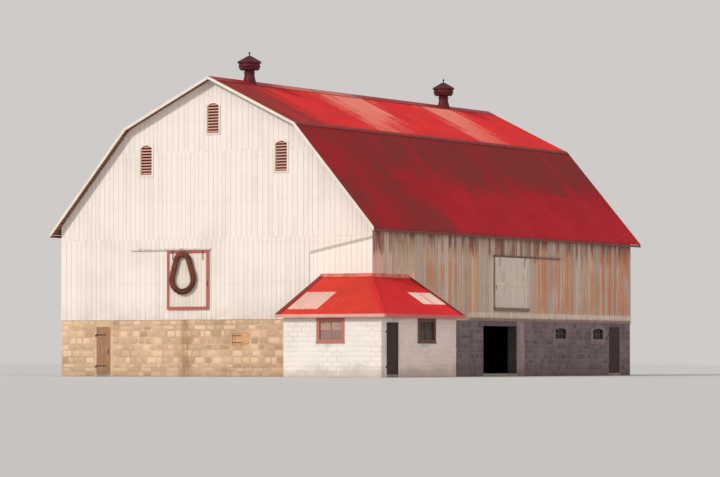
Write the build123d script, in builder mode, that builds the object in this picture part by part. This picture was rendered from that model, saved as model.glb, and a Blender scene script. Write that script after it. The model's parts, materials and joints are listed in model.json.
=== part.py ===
"""Gambrel-roofed bank barn with a wrap-around lean-to annex, in millimetres.

+Z is up and the ridge runs along Y. The light-coloured gable with the three vents faces -Y, and the
long side with the doorways faces +X. The origin is the centre of the barn's plan, on the ground.
"""

import os
from math import atan2, cos, sqrt, tan

from build123d import *

os.makedirs("parts", exist_ok=True)

# Plan of the barn, measured on the faces of the boards
barn_width = 15200.0
barn_length = 23800.0

# Foundation storey
foundation_height = 2400.0
foundation_thickness = 450.0
floor_slab_thickness = 120.0

# Gambrel roof, measured on its outer surface
eave_height = 6040.0
eave_overhang = 300.0
knee_offset = 4160.0
knee_height = 10370.0
peak_height = 12410.0
rake_overhang = 400.0
roof_thickness = 50.0
rafter_depth = 150.0
rafter_width = 60.0

# Board walls
board_thickness = 30.0
board_drop = 50.0

# Timber frame
bay_count = 5
beam_depth = 250.0
beam_width = 250.0
joist_depth = 150.0
joist_width = 75.0
joist_count = 15
deck_thickness = 45.0
post_size = 220.0
inner_post_size = 200.0
inner_post_offset = 2400.0
tie_height = 5500.0
tie_depth = 250.0
purlin_size = 200.0
purlin_inset = 250.0
rafter_seat = 60.0

# Doorways of the foundation: place of the jamb, width, and depth of wall over the head
plank_door_x = -5800.0
plank_door_width = 700.0
plank_lintel = 320.0
wide_door_y = -2400.0
wide_door_width = 3100.0
wide_lintel = 250.0
pier_width = 700.0
stable_door_inset = 2210.0
stable_door_width = 1100.0
stable_lintel = 200.0

# Stable windows and the boarded hatch
window_width = 1150.0
window_height = 550.0
window_rise = 110.0
window_lintel = 250.0
window_surround = 170.0
surround_proud = 25.0
window_depth = 120.0
middle_window_inset = 7060.0
far_window_inset = 3340.0
hatch_x = 1330.0
hatch_width = 800.0
hatch_height = 500.0
hatch_sill = 1300.0
hatch_board = 40.0
glass_thickness = 6.0
sash_width = 45.0

# Hinged plank leaves
leaf_thickness = 40.0
leaf_gap = 6.0
ledge_width = 140.0
ledge_thickness = 25.0
ledge_inset = 45.0
strap_height = 50.0
strap_thickness = 8.0
strap_share = 0.7
hinge_from_end = 330.0
eye_radius = 14.0
eye_sink = 2.0
pin_radius = 8.0
pin_clearance = 0.5
pintle_clearance = 2.0
pintle_arm = 22.0
pintle_plate = 70.0

# Gable sliding door, its frame of trim and its wreath
gable_door_x = -1180.0
gable_door_width = 2050.0
gable_door_drop = 65.0
gable_door_height = 2450.0
door_lap = 85.0
door_standoff = 30.0
door_trim_width = 120.0
door_trim_thickness = 15.0
wreath_offset = 180.0
wreath_drop = 10.0
wreath_bottom_radius = 525.0
wreath_top_radius = 310.0
wreath_centre_gap = 715.0
wreath_section = 150.0
wreath_flat = 110.0

# Side sliding door
side_door_y = 110.0
side_door_width = 3180.0
side_door_drop = 45.0
side_door_height = 2300.0

# Door tracks and hangers
track_size = 60.0
track_wall = 5.0
track_slot = 20.0
track_gap = 22.0
gable_track_reach = 1830.0
side_track_reach = 3000.0
track_end = 60.0
track_bracket_width = 60.0
hanger_width = 60.0
hanger_thickness = 10.0
wheel_radius = 20.0
wheel_thickness = 36.0

# Gable vents
vent_width = 560.0
vent_height = 1230.0
vent_rise = 120.0
vent_flange = 80.0
vent_depth = 110.0
vent_casing = 30.0
slat_count = 10
slat_depth = 95.0
slat_thickness = 12.0
slat_angle = 40.0
top_vent_drop = 2330.0
side_vent_drop = 1950.0
side_vent_offset = 3300.0

# Ridge, barge and eave boards
ridge_cap_reach = 380.0
ridge_cap_thickness = 6.0
barge_depth = 110.0
barge_thickness = 30.0
eave_board_depth = 170.0
board_joint = 2.0

# Ridge ventilators
near_ventilator_inset = 2850.0
far_ventilator_inset = 4000.0
skirt_radius = 330.0
skirt_collar = 30.0
skirt_height = 260.0
neck_radius = 215.0
drum_foot = 470.0
drum_radius = 455.0
drum_height = 330.0
drum_wall = 25.0
drum_roof_height = 270.0
finial_radius = 45.0
finial_stem = 22.0
finial_rise = 110.0

# Annex wrapped round the front right corner
annex_front_reach = 3500.0
annex_side_reach = 2550.0
annex_left_reach = 2450.0
annex_right_reach = 3100.0
annex_top = 4100.0
annex_eave = 2500.0
annex_roof_rise = 75.0
annex_eave_overhang = 300.0
annex_rake_overhang = 200.0
annex_wall = 150.0
annex_floor_thickness = 120.0
annex_door_offset = 400.0
annex_door_width = 950.0
annex_door_head = 2170.0
annex_window_sill = 1450.0
annex_window_height = 800.0
annex_front_window_offset = 2320.0
annex_front_window_width = 1100.0
annex_side_window_offset = 3640.0
annex_side_window_width = 1300.0
annex_window_surround = 90.0
annex_fascia_depth = 130.0
annex_fascia_thickness = 25.0

# Planes and levels worked out from the driving dimensions
half_width = barn_width / 2
half_length = barn_length / 2
inside_x = half_width - board_thickness
inside_y = half_length - board_thickness
stable_x = inside_x - foundation_thickness
stable_y = inside_y - foundation_thickness
board_foot = foundation_height - board_drop
beam_top = foundation_height + beam_depth
joist_top = beam_top + joist_depth
deck_top = joist_top + deck_thickness

eave_x = half_width + eave_overhang
lower_angle = atan2(knee_height - eave_height, eave_x - knee_offset)
upper_angle = atan2(peak_height - knee_height, knee_offset)
roof_front = -half_length - rake_overhang
roof_length = barn_length + 2 * rake_overhang

bent_reach = inside_y - post_size / 2
bent_ys = [-bent_reach + 2 * bent_reach * i / bay_count for i in range(bay_count + 1)]
wall_post_x = inside_x - post_size / 2

plank_door_head = foundation_height - plank_lintel
wide_door_head = foundation_height - wide_lintel
stable_door_head = foundation_height - stable_lintel
window_sill = foundation_height - window_lintel - window_height
stable_door_y = half_length - stable_door_inset
right_window_ys = (half_length - middle_window_inset, half_length - far_window_inset)
top_vent_sill = peak_height - top_vent_drop
side_vent_sill = knee_height - side_vent_drop
ventilator_ys = {
    "near": -half_length + near_ventilator_inset,
    "far": half_length - far_ventilator_inset,
}
gable_door_foot = deck_top - gable_door_drop
side_door_foot = deck_top - side_door_drop
gable_leaf_top = gable_door_foot + gable_door_height
side_leaf_top = side_door_foot + side_door_height
wreath_x = gable_door_x - wreath_offset
wreath_top = gable_leaf_top - wreath_drop
hinge_standoff = strap_thickness + eye_radius - eye_sink


def under_roof(x, depth):
    """Height of the surface that lies depth below the outer roof surface, square to it."""
    lower = eave_height + (eave_x - abs(x)) * tan(lower_angle) - depth / cos(lower_angle)
    upper = peak_height - abs(x) * tan(upper_angle) - depth / cos(upper_angle)
    return min(lower, upper)


def knee_x(depth):
    """Distance from the centre at which the two slopes meet, depth below the outer surface."""
    lower_zero = eave_height + eave_x * tan(lower_angle) - depth / cos(lower_angle)
    upper_zero = peak_height - depth / cos(upper_angle)
    return (lower_zero - upper_zero) / (tan(lower_angle) - tan(upper_angle))


def roof_point(x, depth):
    """Point of a cross-section, on the surface that lies depth below the outer one."""
    return (x, under_roof(x, depth))


def span(xs, ys, zs, mode=Mode.ADD):
    """A box between pairs of limits, in the part that is being built."""
    with Locations(((xs[0] + xs[1]) / 2, (ys[0] + ys[1]) / 2, (zs[0] + zs[1]) / 2)):
        Box(xs[1] - xs[0], ys[1] - ys[0], zs[1] - zs[0], mode=mode)


def finish(piece, name):
    """Labels a finished piece and writes it out."""
    piece.part.label = name
    export_step(piece.part, f"parts/{name}.step")


def front_face(x, z, out=0.0):
    """Plane on the barn's front, out from the foundation's face: x to the right, y up."""
    return Plane(origin=(x, -inside_y - out, z), x_dir=(1, 0, 0), z_dir=(0, -1, 0))


def rear_face(x, z, out=0.0):
    """Plane on the barn's rear, out from the foundation's face."""
    return Plane(origin=(x, inside_y + out, z), x_dir=(-1, 0, 0), z_dir=(0, 1, 0))


def right_face(y, z, out=0.0):
    """Plane on the barn's right side, out from the foundation's face."""
    return Plane(origin=(inside_x + out, y, z), x_dir=(0, 1, 0), z_dir=(1, 0, 0))


def left_face(y, z, out=0.0):
    """Plane on the barn's left side, out from the foundation's face."""
    return Plane(origin=(-inside_x - out, y, z), x_dir=(0, -1, 0), z_dir=(-1, 0, 0))


def arched(width, height, rise, margin=0.0):
    """Face with a segmental head, its foot centred on the origin, grown outward by margin."""
    half = width / 2 + margin
    spring = height - rise
    with BuildSketch() as outline:
        with BuildLine():
            Polyline((-half, spring), (-half, -margin), (half, -margin), (half, spring))
            ThreePointArc((half, spring), (0, height + margin), (-half, spring))
        make_face()
    return outline.sketch


# Ground floor slab of the stable, carried through each doorway as its threshold
with BuildPart() as stable_floor:
    slab = (0, floor_slab_thickness)
    span((-stable_x, stable_x), (-stable_y, stable_y), slab)
    span((plank_door_x, plank_door_x + plank_door_width), (-inside_y, -stable_y), slab)
    span((stable_x, inside_x), (wide_door_y, wide_door_y + wide_door_width), slab)
    span((stable_x, inside_x), (stable_door_y, stable_door_y + stable_door_width), slab)
finish(stable_floor, "stable_floor")


def window_hole(face):
    """Cuts an arched window through the foundation wall that is being built."""
    opening = arched(window_width, window_height, window_rise)
    extrude(face * opening, amount=-foundation_thickness, mode=Mode.SUBTRACT)


wall_heights = (0, foundation_height)
with BuildPart() as front_foundation_left:
    span((-inside_x, plank_door_x), (-inside_y, -stable_y), wall_heights)
finish(front_foundation_left, "front_foundation_left")

with BuildPart() as front_foundation_right:
    span((plank_door_x + plank_door_width, inside_x), (-inside_y, -stable_y), wall_heights)
    with Locations((hatch_x, -inside_y + foundation_thickness / 2, hatch_sill + hatch_height / 2)):
        Box(hatch_width, foundation_thickness, hatch_height, mode=Mode.SUBTRACT)
finish(front_foundation_right, "front_foundation_right")

with BuildPart() as left_foundation:
    span((-inside_x, -stable_x), (-stable_y, stable_y), wall_heights)
    for window_y in right_window_ys:
        window_hole(left_face(window_y, window_sill))
        window_hole(left_face(-window_y, window_sill))
finish(left_foundation, "left_foundation")

with BuildPart() as rear_foundation:
    span((-inside_x, inside_x), (stable_y, inside_y), wall_heights)
finish(rear_foundation, "rear_foundation")

pier_start = wide_door_y + wide_door_width
with BuildPart() as right_foundation_near:
    span((stable_x, inside_x), (-stable_y, wide_door_y), wall_heights)
finish(right_foundation_near, "right_foundation_near")

with BuildPart() as right_foundation_pier:
    span((stable_x, inside_x), (pier_start, pier_start + pier_width), wall_heights)
finish(right_foundation_pier, "right_foundation_pier")

with BuildPart() as right_foundation_far:
    span((stable_x, inside_x), (pier_start + pier_width, stable_door_y), wall_heights)
    for window_y in right_window_ys:
        window_hole(right_face(window_y, window_sill))
finish(right_foundation_far, "right_foundation_far")

with BuildPart() as right_foundation_corner:
    span((stable_x, inside_x), (stable_door_y + stable_door_width, stable_y), wall_heights)
finish(right_foundation_corner, "right_foundation_corner")

with BuildPart() as foundation_lintels:
    span(
        (plank_door_x, plank_door_x + plank_door_width),
        (-inside_y, -stable_y),
        (plank_door_head, foundation_height),
    )
    span(
        (stable_x, inside_x),
        (wide_door_y, wide_door_y + wide_door_width),
        (wide_door_head, foundation_height),
    )
    span(
        (stable_x, inside_x),
        (stable_door_y, stable_door_y + stable_door_width),
        (stable_door_head, foundation_height),
    )
finish(foundation_lintels, "foundation_lintels")


def arched_window(face):
    """Window lining with a broad surround on the wall's face and a sash frame inside it."""
    outline = arched(window_width, window_height, window_rise)
    surround = arched(window_width, window_height, window_rise, window_surround)
    clear = arched(window_width, window_height, window_rise, -sash_width)
    extrude(face * surround, amount=surround_proud)
    extrude(face * outline, amount=-window_depth)
    extrude(face.offset(surround_proud) * clear, amount=-2 * window_depth, mode=Mode.SUBTRACT)


def arched_pane(face):
    """Glass that fills the clear opening of an arched window, at the middle of its depth."""
    clear = arched(window_width, window_height, window_rise, -sash_width)
    middle = face.offset(-window_depth / 2 - glass_thickness / 2)
    extrude(middle * clear, amount=glass_thickness)


stable_window_faces = [right_face(y, window_sill) for y in right_window_ys]
stable_window_faces += [left_face(y, window_sill) for y in right_window_ys]
stable_window_faces += [left_face(-y, window_sill) for y in right_window_ys]

with BuildPart() as stable_window_frames:
    for window_face in stable_window_faces:
        arched_window(window_face)
finish(stable_window_frames, "stable_window_frames")

with BuildPart() as window_hatch:
    with BuildSketch(front_face(hatch_x, hatch_sill, -hatch_board)):
        Rectangle(hatch_width, hatch_height, align=(Align.CENTER, Align.MIN))
    extrude(amount=hatch_board / 2)
finish(window_hatch, "window_hatch")


def hinged_leaf(face, width, height):
    """Ledged plank leaf, flush in its opening, with two strap hinges. The face's origin is the
    foot of the hinge jamb, its x runs across the opening and its z points out of the wall."""
    leaf_width = width - 2 * leaf_gap
    leaf_height = height - 2 * leaf_gap
    strap_reach = strap_share * width
    with BuildPart(face) as leaf:
        span((leaf_gap, leaf_gap + leaf_width), (leaf_gap, leaf_gap + leaf_height), (-leaf_thickness, 0))
        for middle in (hinge_from_end, height / 2, height - hinge_from_end):
            ledge = (middle - ledge_width / 2, middle + ledge_width / 2)
            back = (-leaf_thickness - ledge_thickness, -leaf_thickness)
            span((ledge_inset, width - ledge_inset), ledge, back)
        for middle in (hinge_from_end, height - hinge_from_end):
            strap = (middle - strap_height / 2, middle + strap_height / 2)
            span((0, strap_reach), strap, (0, strap_thickness))
            eye = Plane(origin=(0, strap[0], hinge_standoff), x_dir=(1, 0, 0), z_dir=(0, 1, 0))
            with BuildSketch(face * eye):
                Circle(eye_radius)
            extrude(amount=strap_height)
            with BuildSketch(face * eye):
                Circle(pin_radius + pin_clearance)
            extrude(amount=strap_height, mode=Mode.SUBTRACT)
    return leaf


def pintles(face, height):
    """The two hinge pins of a leaf, each on an arm from a plate on the wall beside the opening."""
    for middle in (hinge_from_end, height - hinge_from_end):
        eye_foot = middle - strap_height / 2
        arm_top = eye_foot - pintle_clearance
        arm = (arm_top - pintle_arm, arm_top)
        pin_plane = Plane(origin=(0, arm[0], hinge_standoff), x_dir=(1, 0, 0), z_dir=(0, 1, 0))
        plate_start = -eye_radius - pintle_plate
        plates = [
            ((plate_start, -eye_radius), (arm[0] - pintle_arm, arm[1] + pintle_arm), (0, strap_thickness)),
            ((plate_start + pintle_arm, pin_radius), arm, (0, hinge_standoff + pin_radius)),
        ]
        for xs, ys, zs in plates:
            centre = Location(((xs[0] + xs[1]) / 2, (ys[0] + ys[1]) / 2, (zs[0] + zs[1]) / 2))
            with Locations(face.location * centre):
                Box(xs[1] - xs[0], ys[1] - ys[0], zs[1] - zs[0])
        with BuildSketch(face * pin_plane) as pin:
            Circle(pin_radius)
        extrude(pin.sketch, amount=pintle_arm + pintle_clearance + strap_height)


annex_corner_x = half_width + annex_side_reach - annex_eave_overhang
annex_corner_y = -half_length - annex_front_reach + annex_eave_overhang
annex_door_y = annex_corner_y + annex_door_offset


def annex_front(x, z, out=0.0):
    """Plane on the outer face of the annex's front wall."""
    return Plane(origin=(x, annex_corner_y - out, z), x_dir=(1, 0, 0), z_dir=(0, -1, 0))


def annex_side(y, z, out=0.0):
    """Plane on the outer face of the annex's side wall."""
    return Plane(origin=(annex_corner_x + out, y, z), x_dir=(0, 1, 0), z_dir=(1, 0, 0))


hinged_doors = {
    "plank_door": (
        front_face(plank_door_x, floor_slab_thickness),
        plank_door_width,
        plank_door_head - floor_slab_thickness,
    ),
    "stable_door": (
        right_face(stable_door_y, floor_slab_thickness),
        stable_door_width,
        stable_door_head - floor_slab_thickness,
    ),
    "annex_door": (
        annex_side(annex_door_y, annex_floor_thickness),
        annex_door_width,
        annex_door_head - annex_floor_thickness,
    ),
}
for door_name, (door_face, door_width, door_height) in hinged_doors.items():
    finish(hinged_leaf(door_face, door_width, door_height), door_name)

with BuildPart() as door_pintles:
    for door_face, door_width, door_height in hinged_doors.values():
        pintles(door_face, door_height)
finish(door_pintles, "door_pintles")

# Stable posts under the cross beams, and the beams, sills, joists and deck of the main floor
inner_post_places = [(side * inner_post_offset, y) for side in (-1, 1) for y in bent_ys]
with BuildPart() as stable_posts:
    post_length = foundation_height - floor_slab_thickness
    with BuildSketch(Plane.XY.offset(floor_slab_thickness)):
        for x, y in inner_post_places:
            inner_y = max(-stable_y + inner_post_size / 2, min(y, stable_y - inner_post_size / 2))
            with Locations((x, inner_y)):
                Rectangle(inner_post_size, inner_post_size)
    extrude(amount=post_length)
finish(stable_posts, "stable_posts")

sill_inner_x = inside_x - post_size
sill_inner_y = inside_y - post_size
with BuildPart() as sill_beams:
    levels = (foundation_height, beam_top)
    for side in (-1, 1):
        xs = sorted((side * sill_inner_x, side * inside_x))
        ys = sorted((side * sill_inner_y, side * inside_y))
        span(xs, (-inside_y, inside_y), levels)
        span((-sill_inner_x + board_joint, sill_inner_x - board_joint), ys, levels)
finish(sill_beams, "sill_beams")

with BuildPart() as floor_beams:
    with BuildSketch(Plane.XY.offset(foundation_height)):
        for y in bent_ys[1:-1]:
            with Locations((0, y)):
                Rectangle(2 * sill_inner_x, beam_width)
        for side in (-1, 1):
            with Locations((0, side * (sill_inner_y - beam_width / 2))):
                Rectangle(2 * sill_inner_x, beam_width)
    extrude(amount=beam_depth)
finish(floor_beams, "floor_beams")

with BuildPart() as floor_joists:
    joist_reach = inside_x - joist_width / 2
    with BuildSketch(Plane.XY.offset(beam_top)):
        with GridLocations(2 * joist_reach / (joist_count - 1), 0, joist_count, 1):
            Rectangle(joist_width, 2 * inside_y)
    extrude(amount=joist_depth)
finish(floor_joists, "floor_joists")

with BuildPart() as main_floor:
    with BuildSketch(Plane.XY.offset(joist_top)):
        Rectangle(2 * inside_x, 2 * inside_y)
    extrude(amount=deck_thickness)
finish(main_floor, "main_floor")

# Bents: wall posts, tie beams, and the posts below and above the ties
plate_top = under_roof(inside_x, roof_thickness + rafter_depth) + rafter_seat
plate_foot = plate_top - post_size
purlin_x = knee_x(roof_thickness + rafter_depth) - purlin_inset
purlin_top = under_roof(purlin_x, roof_thickness + rafter_depth) - purlin_size / 2 * tan(upper_angle)
purlin_top = purlin_top + rafter_seat
purlin_foot = purlin_top - purlin_size

with BuildPart() as wall_posts:
    with BuildSketch(Plane.XY.offset(deck_top)):
        for y in bent_ys:
            with Locations((-wall_post_x, y), (wall_post_x, y)):
                Rectangle(post_size, post_size)
    extrude(amount=plate_foot - deck_top)
finish(wall_posts, "wall_posts")

with BuildPart() as tie_beams:
    for y in bent_ys:
        ys = (y - inner_post_size / 2, y + inner_post_size / 2)
        span((-inside_x + post_size, inside_x - post_size), ys, (tie_height, tie_height + tie_depth))
finish(tie_beams, "tie_beams")

with BuildPart() as loft_posts:
    with BuildSketch(Plane.XY.offset(deck_top)):
        with Locations(*inner_post_places):
            Rectangle(inner_post_size, inner_post_size)
    extrude(amount=tie_height - deck_top)
    with BuildSketch(Plane.XY.offset(tie_height + tie_depth)):
        for y in bent_ys:
            with Locations((-purlin_x, y), (purlin_x, y)):
                Rectangle(purlin_size, inner_post_size)
    extrude(amount=purlin_foot - tie_height - tie_depth)
finish(loft_posts, "loft_posts")

with BuildPart() as plates_and_purlins:
    with BuildSketch(Plane.XZ.offset(inside_y)):
        for side in (-1, 1):
            with Locations((side * wall_post_x, plate_foot + post_size / 2)):
                Rectangle(post_size, post_size)
            with Locations((side * purlin_x, purlin_foot + purlin_size / 2)):
                Rectangle(purlin_size, purlin_size)
    extrude(amount=-2 * inside_y)
finish(plates_and_purlins, "plates_and_purlins")

rafter_ys = []
for i in range(2 * bay_count + 1):
    rafter_reach = inside_y - rafter_width / 2
    rafter_ys.append(-rafter_reach + 2 * rafter_reach * i / (2 * bay_count))
with BuildSketch(Plane.XZ) as rafter_frame:
    rafter_in = roof_thickness + rafter_depth
    outer = [inside_x, knee_x(roof_thickness), 0]
    inner = [0, knee_x(rafter_in), inside_x]
    right_half = [roof_point(x, roof_thickness) for x in outer]
    right_half += [roof_point(x, rafter_in) for x in inner]
    with BuildLine():
        Polyline(*right_half, close=True)
    make_face()
    mirror(about=Plane.YZ)
    for side in (-1, 1):
        with Locations((side * wall_post_x, plate_foot + post_size / 2)):
            Rectangle(post_size, post_size, mode=Mode.SUBTRACT)
        with Locations((side * purlin_x, purlin_foot + purlin_size / 2)):
            Rectangle(purlin_size, purlin_size, mode=Mode.SUBTRACT)

with BuildPart() as rafters:
    for y in rafter_ys:
        extrude(Plane(origin=(0, y + rafter_width / 2, 0)) * rafter_frame.sketch, amount=rafter_width)
finish(rafters, "rafters")


def vent_places(gable_face):
    """The three vents of a gable, by the plane at the foot of each."""
    return [
        gable_face(0, top_vent_sill, board_thickness),
        gable_face(-side_vent_offset, side_vent_sill, board_thickness),
        gable_face(side_vent_offset, side_vent_sill, board_thickness),
    ]


def gable_boards(gable_face):
    """Board wall of a gable end, up to the roof, with its vent openings."""
    side = [(half_width, board_foot), roof_point(half_width, roof_thickness)]
    top = [roof_point(x, roof_thickness) for x in (knee_x(roof_thickness), 0)]
    mirrored = [(-x, z) for x, z in reversed(side + top[:1])]
    with BuildPart() as wall:
        with BuildSketch(gable_face(0, 0)):
            with BuildLine():
                Polyline(*side, *top, *mirrored, close=True)
            make_face()
        extrude(amount=board_thickness)
        for vent in vent_places(gable_face):
            hole = vent * arched(vent_width, vent_height, vent_rise, vent_casing)
            extrude(hole, amount=-board_thickness, mode=Mode.SUBTRACT)
    return wall


with BuildPart() as front_gable_wall:
    add(gable_boards(front_face).part)
    with BuildSketch(front_face(gable_door_x, deck_top)):
        gable_opening_height = gable_leaf_top - door_lap - deck_top
        Rectangle(
            gable_door_width - 2 * door_lap,
            gable_opening_height,
            align=(Align.CENTER, Align.MIN),
        )
    extrude(amount=board_thickness, mode=Mode.SUBTRACT)
finish(front_gable_wall, "front_gable_wall")
finish(gable_boards(rear_face), "rear_gable_wall")


def side_boards(side):
    """Board wall of a long side, its top bevelled to the roof. side is 1 on the right."""
    corners = [
        (half_width, board_foot),
        roof_point(half_width, roof_thickness),
        roof_point(inside_x, roof_thickness),
        (inside_x, board_foot),
    ]
    with BuildPart() as wall:
        with BuildSketch(Plane.XZ.offset(inside_y)):
            with BuildLine():
                Polyline(*[(side * x, z) for x, z in corners], close=True)
            make_face()
        extrude(amount=-2 * inside_y)
    return wall


finish(side_boards(-1), "left_wall")
with BuildPart() as right_wall:
    add(side_boards(1).part)
    with BuildSketch(right_face(side_door_y, deck_top)):
        side_opening_height = side_leaf_top - door_lap - deck_top
        Rectangle(
            side_door_width - 2 * door_lap,
            side_opening_height,
            align=(Align.CENTER, Align.MIN),
        )
    extrude(amount=board_thickness, mode=Mode.SUBTRACT)
finish(right_wall, "right_wall")


def louvred_vent(face):
    """Arched gable vent: a casing through the boards with a flange on their face, and sloping
    slats that run into the casing on both sides. The face's origin is the foot of its opening."""
    opening = arched(vent_width, vent_height, vent_rise)
    casing = arched(vent_width, vent_height, vent_rise, vent_casing)
    flange = arched(vent_width, vent_height, vent_rise, vent_flange)
    slat_pitch = vent_height / slat_count
    slat_middle = -vent_depth / 2
    with BuildPart() as vent:
        for i in range(slat_count):
            level = slat_pitch * (i + 0.5)
            with Locations(face.location * Location((0, level, slat_middle), (slat_angle, 0, 0))):
                Box(vent_width + vent_casing, slat_depth, slat_thickness)
        clip = face.offset(-vent_depth) * arched(vent_width, vent_height, vent_rise, vent_casing / 2)
        extrude(clip, amount=2 * vent_depth, mode=Mode.INTERSECT)
        with BuildSketch() as ring:
            add(casing)
            add(opening, mode=Mode.SUBTRACT)
        with BuildSketch() as rim:
            add(flange)
            add(opening, mode=Mode.SUBTRACT)
        extrude(face * ring.sketch, amount=-vent_depth)
        extrude(face * rim.sketch, amount=surround_proud)
    return vent


with BuildPart() as gable_vents:
    for vent_face in vent_places(front_face) + vent_places(rear_face):
        add(louvred_vent(vent_face).part)
finish(gable_vents, "gable_vents")

# Sliding doors of the main floor: leaves outside the boards, hung from tracks
leaf_face_out = board_thickness + door_standoff
with BuildPart() as gable_door:
    with BuildSketch(front_face(gable_door_x, gable_door_foot, leaf_face_out)):
        Rectangle(gable_door_width, gable_door_height, align=(Align.CENTER, Align.MIN))
    extrude(amount=leaf_thickness)
finish(gable_door, "gable_door")

with BuildPart() as gable_door_trim:
    with BuildSketch(front_face(gable_door_x, gable_door_foot, leaf_face_out + leaf_thickness)):
        Rectangle(gable_door_width, gable_door_height, align=(Align.CENTER, Align.MIN))
        with Locations((0, door_trim_width)):
            Rectangle(
                gable_door_width - 2 * door_trim_width,
                gable_door_height - 2 * door_trim_width,
                align=(Align.CENTER, Align.MIN),
                mode=Mode.SUBTRACT,
            )
    extrude(amount=door_trim_thickness)
finish(gable_door_trim, "gable_door_trim")

# Pear-shaped wreath: a round section carried round two tangent-joined arcs, flat at the back
trim_front = leaf_face_out + leaf_thickness + door_trim_thickness
wreath_centre_z = wreath_top - wreath_section - wreath_top_radius - wreath_centre_gap
wreath_face = front_face(wreath_x, wreath_centre_z, trim_front + wreath_flat)
tangent_lean = (wreath_bottom_radius - wreath_top_radius) / wreath_centre_gap
tangent_reach = sqrt(1 - tangent_lean**2)
bottom_tangent = (wreath_bottom_radius * tangent_reach, wreath_bottom_radius * tangent_lean)
top_tangent = (
    wreath_top_radius * tangent_reach,
    wreath_centre_gap + wreath_top_radius * tangent_lean,
)
with BuildPart() as door_wreath:
    with BuildLine(wreath_face) as wreath_path:
        ThreePointArc(
            (-bottom_tangent[0], bottom_tangent[1]),
            (0, -wreath_bottom_radius),
            bottom_tangent,
        )
        Line(bottom_tangent, top_tangent)
        ThreePointArc(
            top_tangent,
            (0, wreath_centre_gap + wreath_top_radius),
            (-top_tangent[0], top_tangent[1]),
        )
        Line((-top_tangent[0], top_tangent[1]), (-bottom_tangent[0], bottom_tangent[1]))
    with BuildSketch(Plane(origin=wreath_path.line @ 0, z_dir=wreath_path.line % 0)):
        Circle(wreath_section)
    sweep()
    split(bisect_by=wreath_face.offset(-wreath_flat), keep=Keep.TOP)
finish(door_wreath, "door_wreath")

with BuildPart() as side_door:
    with BuildSketch(right_face(side_door_y, side_door_foot, leaf_face_out)):
        Rectangle(side_door_width, side_door_height, align=(Align.CENTER, Align.MIN))
    extrude(amount=leaf_thickness)
finish(side_door, "side_door")


def door_track(face, start, end, hanger_xs):
    """Box track on brackets above a sliding leaf, with the leaf's hangers and their wheels. The
    face lies on the boards, its origin over the leaf's middle at the level of the leaf's top."""
    track_middle = door_standoff + leaf_thickness / 2
    track_foot = track_gap
    length = end - start
    section = Plane(origin=(start, track_foot, track_middle), x_dir=(0, 0, -1), z_dir=(1, 0, 0))
    with BuildPart() as track:
        with BuildSketch(face * section):
            Rectangle(track_size, track_size, align=(Align.CENTER, Align.MIN))
            with Locations((0, track_wall)):
                Rectangle(
                    track_size - 2 * track_wall,
                    track_size - 2 * track_wall,
                    align=(Align.CENTER, Align.MIN),
                    mode=Mode.SUBTRACT,
                )
            Rectangle(track_slot, 2 * track_wall, mode=Mode.SUBTRACT)
        extrude(amount=length)
        back = track_middle - track_size / 2
        for i in range(4):
            x = start + length * (i + 0.5) / 4
            bracket = Location((x, track_foot + track_size * 0.75, back / 2))
            with Locations(face.location * bracket):
                Box(track_bracket_width, track_size * 1.5, back)
        for x in hanger_xs:
            wheel_level = track_foot + track_wall + wheel_radius
            wheel = Plane(
                origin=(x, wheel_level, track_middle - wheel_thickness / 2),
                x_dir=(1, 0, 0),
                z_dir=(0, 0, 1),
            )
            with BuildSketch(face * wheel):
                Circle(wheel_radius)
            extrude(amount=wheel_thickness)
            stem = Location((x, wheel_level / 2, track_middle))
            with Locations(face.location * stem):
                Box(hanger_width / 3, wheel_level, hanger_thickness)
    return track


gable_hanger = gable_door_width / 2 - door_trim_width - hanger_width
side_hanger = side_door_width / 2 - door_trim_width - hanger_width
with BuildPart() as door_tracks:
    add(
        door_track(
            front_face(gable_door_x, gable_leaf_top, board_thickness),
            -gable_door_width / 2 - gable_track_reach,
            gable_door_width / 2 + track_end,
            (-gable_hanger, gable_hanger),
        ).part
    )
    add(
        door_track(
            right_face(side_door_y, side_leaf_top, board_thickness),
            -side_door_width / 2 - track_end,
            side_door_width / 2 + side_track_reach,
            (-side_hanger, side_hanger),
        ).part
    )
finish(door_tracks, "door_tracks")

# Roof slopes, ridge cap and trim boards
lower_slope_xs = (eave_x, knee_x(0), knee_x(roof_thickness), eave_x)
upper_slope_xs = (knee_x(0), 0, 0, knee_x(roof_thickness))
slope_depths = (0, 0, roof_thickness, roof_thickness)


def roof_slope(side, xs):
    """One slope of the roof, mitred at the knee and cut plumb at the eave or ridge."""
    corners = [roof_point(x, depth) for x, depth in zip(xs, slope_depths)]
    with BuildPart() as slope:
        with BuildSketch(Plane.XZ.offset(-roof_front)):
            with BuildLine():
                Polyline(*[(side * x, z) for x, z in corners], close=True)
            make_face()
        extrude(amount=-roof_length)
    return slope


finish(roof_slope(-1, lower_slope_xs), "roof_lower_left")
finish(roof_slope(-1, upper_slope_xs), "roof_upper_left")
finish(roof_slope(1, upper_slope_xs), "roof_upper_right")
finish(roof_slope(1, lower_slope_xs), "roof_lower_right")

with BuildPart() as ridge_cap:
    cap_half = [
        roof_point(0, -ridge_cap_thickness),
        roof_point(ridge_cap_reach, -ridge_cap_thickness),
        roof_point(ridge_cap_reach, 0),
        roof_point(0, 0),
    ]
    with BuildSketch(Plane.XZ.offset(-roof_front)):
        with BuildLine():
            Polyline(*cap_half, close=True)
        make_face()
        mirror(about=Plane.YZ)
    extrude(amount=-roof_length)
finish(ridge_cap, "ridge_cap")

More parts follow.
